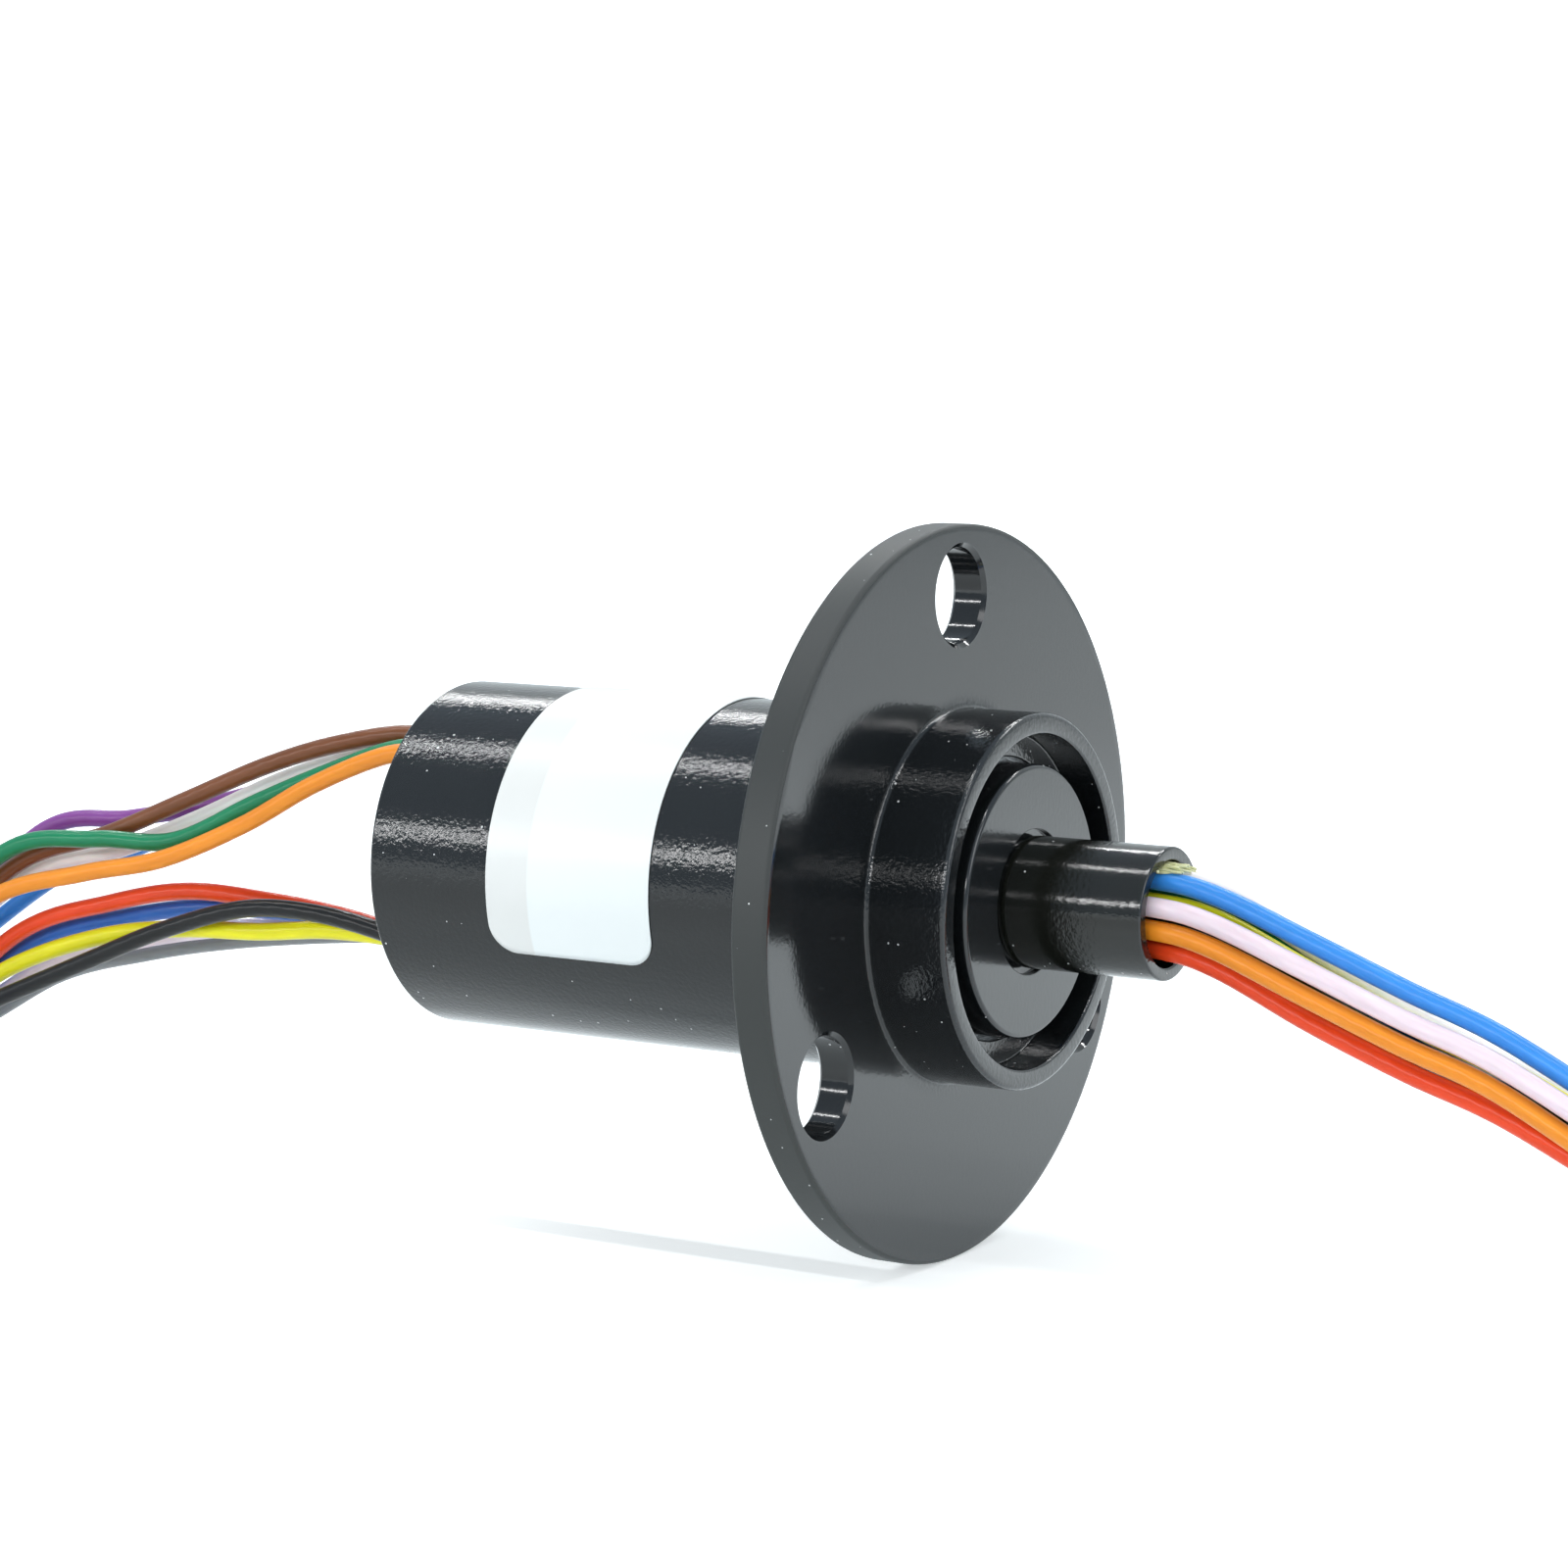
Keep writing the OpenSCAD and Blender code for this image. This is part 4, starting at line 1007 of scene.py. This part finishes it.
class SLIPRING_OT_hank_ties(Operator):
    """Put a nylon tie round each run of both hanks"""

    bl_idname = "slip_ring.hank_ties"
    bl_label = "Hank ties"

    def execute(self, context):
        settings = in_mm(context.scene.slip_ring_leads)
        material = tie_nylon()
        run, mean = settings.hank_run, settings.hank_r
        for side, owner, entry_x in ((1, "stator", STATOR_X[-1]), (-1, "rotor", ROTOR_X[-1])):
            sheets = []
            for place, y, inward in zip(TIE_PLACES, (0, 2 * mean), (1, -1)):
                x = entry_x - side * run * place
                middle = np.array([x, -side * y, level(1.5, settings)])
                sheets += self.tie(settings, middle, -side * inward)
            ties = piece(f"{owner}_ties", sheets, [material], sharp=40)
            belong(ties, owner, "tie_nylon", f"{owner}_hank_ties")
        return {"FINISHED"}

    def tie(self, settings, middle, out):
        """Strap and head of one tie round a run, whose head points along y in the sense of out.

        The strap is a rounded rectangle (out, up) round the run's section, carried across its
        width. The head is a box with its corners rounded in plan and its rims drawn in.
        """
        pitch = settings.pitch
        half_w, half_h, thick = 3 * pitch, 2 * pitch, STRAP_THICK
        inner = rectangle(half_w + 0.02, half_h + 0.02, 0.6, 8)
        outer = rectangle(half_w + thick, half_h + thick, 1.0, 8)
        across = np.array([-1, -1, 1, 1]) * STRAP_WIDTH / 2
        section = np.stack([outer, inner, inner, outer])
        aside = np.broadcast_to(across[:, None], section.shape[:2])
        strap = np.stack([section[..., 0], aside, section[..., 1]], -1)
        run = np.concatenate([[0], np.linalg.norm(np.diff(outer, axis=0), axis=1).cumsum()])
        run = np.append(run, run[-1] + np.linalg.norm(outer[0] - outer[-1]))
        start = half_w + thick / 2
        head = prism(start + 1.8, rectangle(1.8, 1.6, 0.5, 5), HEAD_LEVELS)
        tail = prism(start + 1.6, rectangle(0.25, STRAP_WIDTH / 2, 0.12, 3), TAIL_LEVELS)

        def placed(grid):
            return middle + np.stack([grid[..., 1], out * grid[..., 0], grid[..., 2]], -1)

        return [
            {"points": placed(strap), "wrap": (True, True), "uv": (np.zeros(5), run)},
            {"points": placed(head), "wrap": (False, True)},
            {"points": placed(tail), "wrap": (False, True)},
        ]


# ---------- Housing, rotor and label ----------


class SLIPRING_OT_housing(Operator):
    """Turn the housing: barrel, drilled flange and boss with its recess"""

    bl_idname = "slip_ring.housing"
    bl_label = "Housing"

    def execute(self, context):
        s = in_mm(context.scene.slip_ring_housing)
        rim, t = s.flange_d / 2, s.flange_t
        barrel, rear = s.barrel_d / 2, HOUSING_LOW.x
        bore = barrel - s.barrel_wall
        boss, front = s.boss_d / 2, HOUSING_HIGH.x
        mouth, lip, lip_bore = s.mouth_d / 2, s.lip_front, s.lip_bore_d / 2
        seat, seat_front, seat_rear = RACE_HIGH.z, RACE_HIGH.x, RACE_LOW.x
        edge = s.edge_r
        corners = [
            (0, rim, edge),
            (t, rim, edge),
            (t, boss, 0.3),
            (front, boss, edge),
            (front, mouth, 0.18),
            (lip, mouth, 0.15),
            (lip, lip_bore, 0.12),
            (seat_front, lip_bore, 0.05),
            (seat_front, seat, 0.05),
            (seat_rear, seat, 0.05),
            (seat_rear, bore, 0.05),
            (rear, bore, 0.15),
            (rear, barrel, edge),
            (0, barrel, 0.15),
        ]
        arcs, wear_and_sheen = rounded([c[:2] for c in corners], [c[2] for c in corners])
        concave = np.array([0, 0, 1, 0, 0, 1, 0, 0, 1, 0, 0, 0, 0, 1], bool)
        # Only the convex corners are rubbed and painted with an edge highlight.
        wear_and_sheen = wear_and_sheen * ~concave[:, None]
        turn = np.linspace(0, 2 * math.pi, s.segments, endpoint=False)
        sheets = []
        for part in (slice(0, 2), slice(2, None)):
            points = turned(arcs[part].reshape(-1, 2), turn)
            wrap = (False, True)
            sheets.append({"points": points, "wrap": wrap, "wear_and_sheen": wear_and_sheen[part].reshape(-1, 1)})
        circle, hole, chamfer = s.circle_d / 2, s.hole_d / 2, s.hole_chamfer
        for x, inner in ((t, boss + 0.3), (0, barrel + 0.15)):
            plates, theta = flange_plate(
                x, inner, rim - edge, hole + chamfer, circle, s.holes, s.segments
            )
            sheets += plates
        stations = [(t, hole + chamfer), (t - chamfer, hole), (chamfer, hole), (0, hole + chamfer)]
        sheets += hole_walls(stations, circle, s.holes, theta)
        trimmed_from = rim * MM - 0.00025
        material = moulded_plastic("moulded_black_abs", s.colour, 0.1, 0.03, trimmed_from)
        housing = piece("housing_moulding", sheets, [material], sharp=40)
        weighted(housing)
        belong(housing, "stator", "black_plastic", "housing")
        return {"FINISHED"}


class SLIPRING_OT_rotor(Operator):
    """Turn the rotor: disc, journals and the core under the contact rings"""

    bl_idname = "slip_ring.rotor"
    bl_label = "Rotor"

    def execute(self, context):
        s = in_mm(context.scene.slip_ring_rotor)
        tube, bore = s.tube_d / 2, s.tube_bore / 2
        disc, front = s.disc_d / 2, HUB_HIGH.x
        gap, floor = s.root_gap, front - s.root_depth
        seat = tube - s.seat_step
        journal, rear_journal = s.journal_d / 2, s.rear_journal_d / 2
        core, body = s.core_d / 2, STACK_HIGH.z
        neck_front, neck_rear = s.neck_front, INNER_HIGH.x
        clip_back = CLIP_LOW.x - 0.05
        corners = [
            (front, tube + gap, 0.08),
            (front, disc, s.edge_r),
            (neck_front, disc, 0.1),
            (neck_front, journal + 0.7, 0.1),
            (neck_rear, journal + 0.7, 0.05),
            (neck_rear, journal, 0.05),
            (INNER_LOW.x, journal, 0.05),
            (INNER_LOW.x, body - 0.3, 0.05),
            (clip_back, body - 0.3, 0.05),
            (clip_back, body, 0.05),
            (STACK_HIGH.x, body, 0.05),
            (STACK_HIGH.x, core, 0.05),
            (COLLAR_LOW.x, core, 0.1),
            (COLLAR_LOW.x, rear_journal + 0.35, 0.1),
            (REAR_HIGH.x, rear_journal + 0.35, 0.05),
            (REAR_HIGH.x, rear_journal, 0.05),
            (HUB_LOW.x, rear_journal, 0.2),
            (HUB_LOW.x, 0, 0),
            (POTTING_LOW.x, 0, 0),
            (POTTING_LOW.x, bore, 0.05),
            (TUBE_LOW.x, bore, 0.05),
            (TUBE_LOW.x, seat, 0.05),
            (floor, seat, 0.05),
            (floor, tube + gap, 0.05),
        ]
        material = moulded_plastic("moulded_black_pom", s.colour, 0.13, 0.008)
        rotor = lathe("rotor_moulding", corners, 5, 160, (0, 1), material)
        belong(rotor, "rotor", "rotor_plastic", "rotor_hub")
        return {"FINISHED"}


class SLIPRING_OT_lead_tube(Operator):
    """Turn the thin tube that the rotor leads come out of"""

    bl_idname = "slip_ring.lead_tube"
    bl_label = "Lead tube"

    def execute(self, context):
        s = in_mm(context.scene.slip_ring_rotor)
        outer, bore = s.tube_d / 2, s.tube_bore / 2
        rear, front = TUBE_LOW.x, TUBE_HIGH.x
        seat, shoulder = outer - s.seat_step, HUB_HIGH.x
        corners = [
            (rear, bore, 0.05),
            (rear, seat, 0.05),
            (shoulder, seat, 0.02),
            (shoulder, outer, 0.04),
            (front, outer, 0.15),
            (front, bore, 0.15),
        ]
        material = moulded_plastic("extruded_black_pvc", s.tube_colour, 0.12, 0.015)
        tube = lathe("lead_tube_extrusion", corners, 6, 128, (4, 5), material)
        belong(tube, "rotor", "tube_plastic", "lead_tube")
        return {"FINISHED"}


class SLIPRING_OT_filler_yarn(Operator):
    """Fray the filler yarn that fills the top of the tube's mouth"""

    bl_idname = "slip_ring.filler_yarn"
    bl_label = "Filler yarn"

    def execute(self, context):
        """Each fibre runs along X and drifts aside as the cube of its run, with a slow wave.

        The fibres' places, reaches and drifts come from multiples of three odd fractions, which
        spread them evenly without a pattern.
        """
        s = in_mm(context.scene.slip_ring_rotor)
        mouth, bore = TUBE_HIGH.x, s.tube_bore / 2
        fibre_r, buried = 0.085, 2
        sheets = []
        for k in range(s.fibres):
            u, v, w = (k * g % 1 for g in (0.618, 0.755, 0.570))
            angle = math.radians(-26 + 62 * u)
            depth = bore - 0.12 - 0.22 * v
            t = np.linspace(0, 1, 18)
            run = (2.1 + 1.3 * w) * t
            sway = 0.08 * np.sin(5 * t + 9 * v) * t
            y = depth * math.sin(angle) + (v - 0.5) * 0.9 * t**3 + sway
            z = depth * math.cos(angle) - (1.3 * v * u - 0.1) * t**3 + sway
            line = np.stack([mouth - buried + run, y, z], -1)
            tube = swept(line, t, np.full(len(t), fibre_r), 8)
            ends = np.stack([line[0] + 0 * tube[0], line[-1] + 0 * tube[0]])
            points = np.concatenate([ends[:1], tube, ends[1:]])
            sheets.append({"points": points, "wrap": (False, True)})
        yarn = piece("filler_yarn", sheets, [aramid_fibre()], sharp=70)
        belong(yarn, "rotor", "lead_bundle")
        return {"FINISHED"}


class SLIPRING_OT_label(Operator):
    """Wrap the bare white label over the top of the barrel"""

    bl_idname = "slip_ring.label"
    bl_label = "Label"

    def execute(self, context):
        s = in_mm(context.scene.slip_ring_label)
        corner, thick = s.corner_r, s.thickness
        x0, x1 = LABEL_LOW.x, LABEL_HIGH.x
        radius = LABEL_HIGH.z
        reach = math.acos((LABEL_LOW.z + s.lift) / radius) * radius  # half the arc
        length = x1 - x0
        # Stations bunch towards both ends, where the corners curve.
        w = (1 - np.cos(np.linspace(0, math.pi, 61))) / 2
        x = w * length
        near = np.minimum(np.minimum(x, length - x), corner)
        half = reach - corner + np.sqrt(np.maximum(corner**2 - (corner - near) ** 2, 0))
        v = np.linspace(-1, 1, 121)
        run = half[:, None] * v
        a = run / radius
        grid = np.stack([x0 + x[:, None] + 0 * a, radius * np.sin(a), radius * np.cos(a)], -1)
        sheet = {"points": grid, "wrap": (False, False)}
        label = piece("label_film", [sheet], [label_film()], sharp=60)
        self.flat_map(label.data, radius, x0)
        turn_outwards(label.data)
        solid = label.modifiers.new("film", "SOLIDIFY")
        solid.thickness = thick * MM * 0.96  # just inside the CAD label
        solid.offset = -1
        belong(label, "stator", "label_film", "label")
        return {"FINISHED"}

    def flat_map(self, mesh, radius, x0):
        """UV of the flat label, in millimetres: distance along it and arc round the barrel."""
        places = np.zeros(len(mesh.vertices) * 3)
        mesh.vertices.foreach_get("co", places)
        x, y, z = places.reshape(-1, 3).T / MM
        corner = np.zeros(len(mesh.loops), np.int32)
        mesh.loops.foreach_get("vertex_index", corner)
        uv = np.stack([x - x0, np.arctan2(y, z) * radius], -1)[corner]
        mesh.uv_layers["UVMap"].data.foreach_set("uv", uv.astype(np.float32).ravel())


def turn_outwards(mesh):
    """Flips an open sheet round the rotor axis if its faces point at the axis."""
    face = mesh.polygons[0]
    if Vector((0, face.center.y, face.center.z)).dot(face.normal) < 0:
        mesh.flip_normals()


def ends(*parts):
    """The names of those parts in both bearings."""
    return [f"{end}_bearing_{part}" for end in ("front", "rear") for part in parts]


def halves(part):
    """The names of a part's upper and lower solids."""
    return [f"{part}_upper", f"{part}_lower"]


# Inner parts: material, its two tones, metallic, roughness, width and depth of its grain in
# millimetres, other settings, and the solids that it finishes.
FINISHES = [
    # Ground and hardened bearing steel: fine grinding lines run round the race.
    ("ground_bearing_steel", "#9a9da0 #c4c6c8", 1.0, 0.18, 0.3, 0.002, {"stretch": (0.2, 1, 1)},
     ends("outer_race", "inner_race")),
    # Lapped balls: nearly a mirror.
    ("lapped_ball_steel", "#c8cacc #dcdddf", 1.0, 0.06, 0.8, 0.0005, {}, ends("balls")),
    # Pressed brass ribbon cage.
    ("pressed_brass", "#9a7a34 #c29c4a", 1.0, 0.3, 0.5, 0.004, {}, ends("cage")),
    # Stamped shields, rolled steel.
    ("rolled_steel_shield", "#8c9093 #b4b7ba", 1.0, 0.28, 0.4, 0.003, {}, ends("shields")),
    # Phosphated spring steel, dark and slightly matt.
    ("phosphated_spring_steel", "#26282a #3c3e40", 0.8, 0.4, 0.2, 0.004, {}, ["rotor_circlip"]),
    # Hard gold plating over turned brass.
    ("hard_gold_plate", "#c79a36 #e0b552", 1.0, 0.2, 0.25, 0.002, {"stretch": (4, 1, 1)},
     halves("contact_rings")),
    # Drawn gold-alloy brush wire.
    ("drawn_gold_alloy", "#c8ac62 #dcc078", 1.0, 0.22, 0.1, 0.002, {}, halves("brush_wires")),
    # Red-brown phenolic insulating washers.
    ("moulded_phenolic", "#5e2018 #7a3023", 0.0, 0.4, 0.4, 0.006, {"IOR": 1.6}, ["ring_spacers"]),
    # Amber-brown epoxy, cast, with a wet gloss.
    ("cast_epoxy", "#241409 #3b2413", 0.0, 0.14, 2.0, 0.01, {"IOR": 1.55}, ["rotor_potting"]),
]


class SLIPRING_OT_inner_finishes(Operator):
    """Give the bearings, contact rings, brushes and other inner parts their finishes"""

    bl_idname = "slip_ring.inner_finishes"
    bl_label = "Inner parts"

    def execute(self, context):
        plastic = moulded_plastic("moulded_black_pbt", linear("#121315"), 0.3, 0.002)
        self.finish(plastic, ["rear_cap", "bearing_retainer", "stack_collar"])
        self.finish(board_laminate(), halves("brush_board"))
        for name, tones, metallic, roughness, width, depth, more, nodes in FINISHES:
            skin = grained(name, tones.split(), metallic, roughness, width, depth, **more)
            self.finish(skin, nodes)
        return {"FINISHED"}

    def finish(self, material, nodes):
        """Puts the material on the solids and shades them round, with crisp edges."""
        for node in nodes:
            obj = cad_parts[node]
            obj.data.materials.clear()
            obj.data.materials.append(material)
            obj.data.shade_smooth()
            weld = obj.modifiers.new("joined", "WELD")
            weld.merge_threshold = 0.0005 * MM
            split = obj.modifiers.new("crisp", "EDGE_SPLIT")
            split.split_angle = math.radians(30)


# ---------- Panel and registration ----------

OPERATORS = (
    SLIPRING_OT_stage,
    SLIPRING_OT_stator_leads,
    SLIPRING_OT_rotor_leads,
    SLIPRING_OT_hank_ties,
    SLIPRING_OT_housing,
    SLIPRING_OT_rotor,
    SLIPRING_OT_lead_tube,
    SLIPRING_OT_filler_yarn,
    SLIPRING_OT_label,
    SLIPRING_OT_inner_finishes,
)

GROUPS = {
    "slip_ring_stage": SLIPRING_PG_stage,
    "slip_ring_leads": SLIPRING_PG_leads,
    "slip_ring_housing": SLIPRING_PG_housing,
    "slip_ring_rotor": SLIPRING_PG_rotor,
    "slip_ring_label": SLIPRING_PG_label,
}


class SLIPRING_PT_sidebar(Panel):
    """Lists the pieces of the slip ring and their settings."""

    bl_idname = "SLIPRING_PT_sidebar"
    bl_label = "Slip Ring"
    bl_space_type = "VIEW_3D"
    bl_region_type = "UI"
    bl_category = "Slip Ring"

    def draw(self, context):
        layout = self.layout
        for operator in OPERATORS:
            layout.operator(operator.bl_idname)
        for name, group in GROUPS.items():
            box = layout.box()
            box.label(text=group.__doc__)
            for prop in group.__annotations__:
                box.prop(getattr(context.scene, name), prop)


def register():
    for cls in (*GROUPS.values(), *OPERATORS, SLIPRING_PT_sidebar):
        bpy.utils.register_class(cls)
    for name, group in GROUPS.items():
        setattr(bpy.types.Scene, name, PointerProperty(type=group))


def unregister():
    for name in GROUPS:
        delattr(bpy.types.Scene, name)
    for cls in reversed((*GROUPS.values(), *OPERATORS, SLIPRING_PT_sidebar)):
        bpy.utils.unregister_class(cls)


def main():
    """Registers the add-on and builds every piece in order."""
    register()
    for operator in OPERATORS:
        group, name = operator.bl_idname.split(".")
        getattr(getattr(bpy.ops, group), name)()


if __name__ == "__main__":
    main()
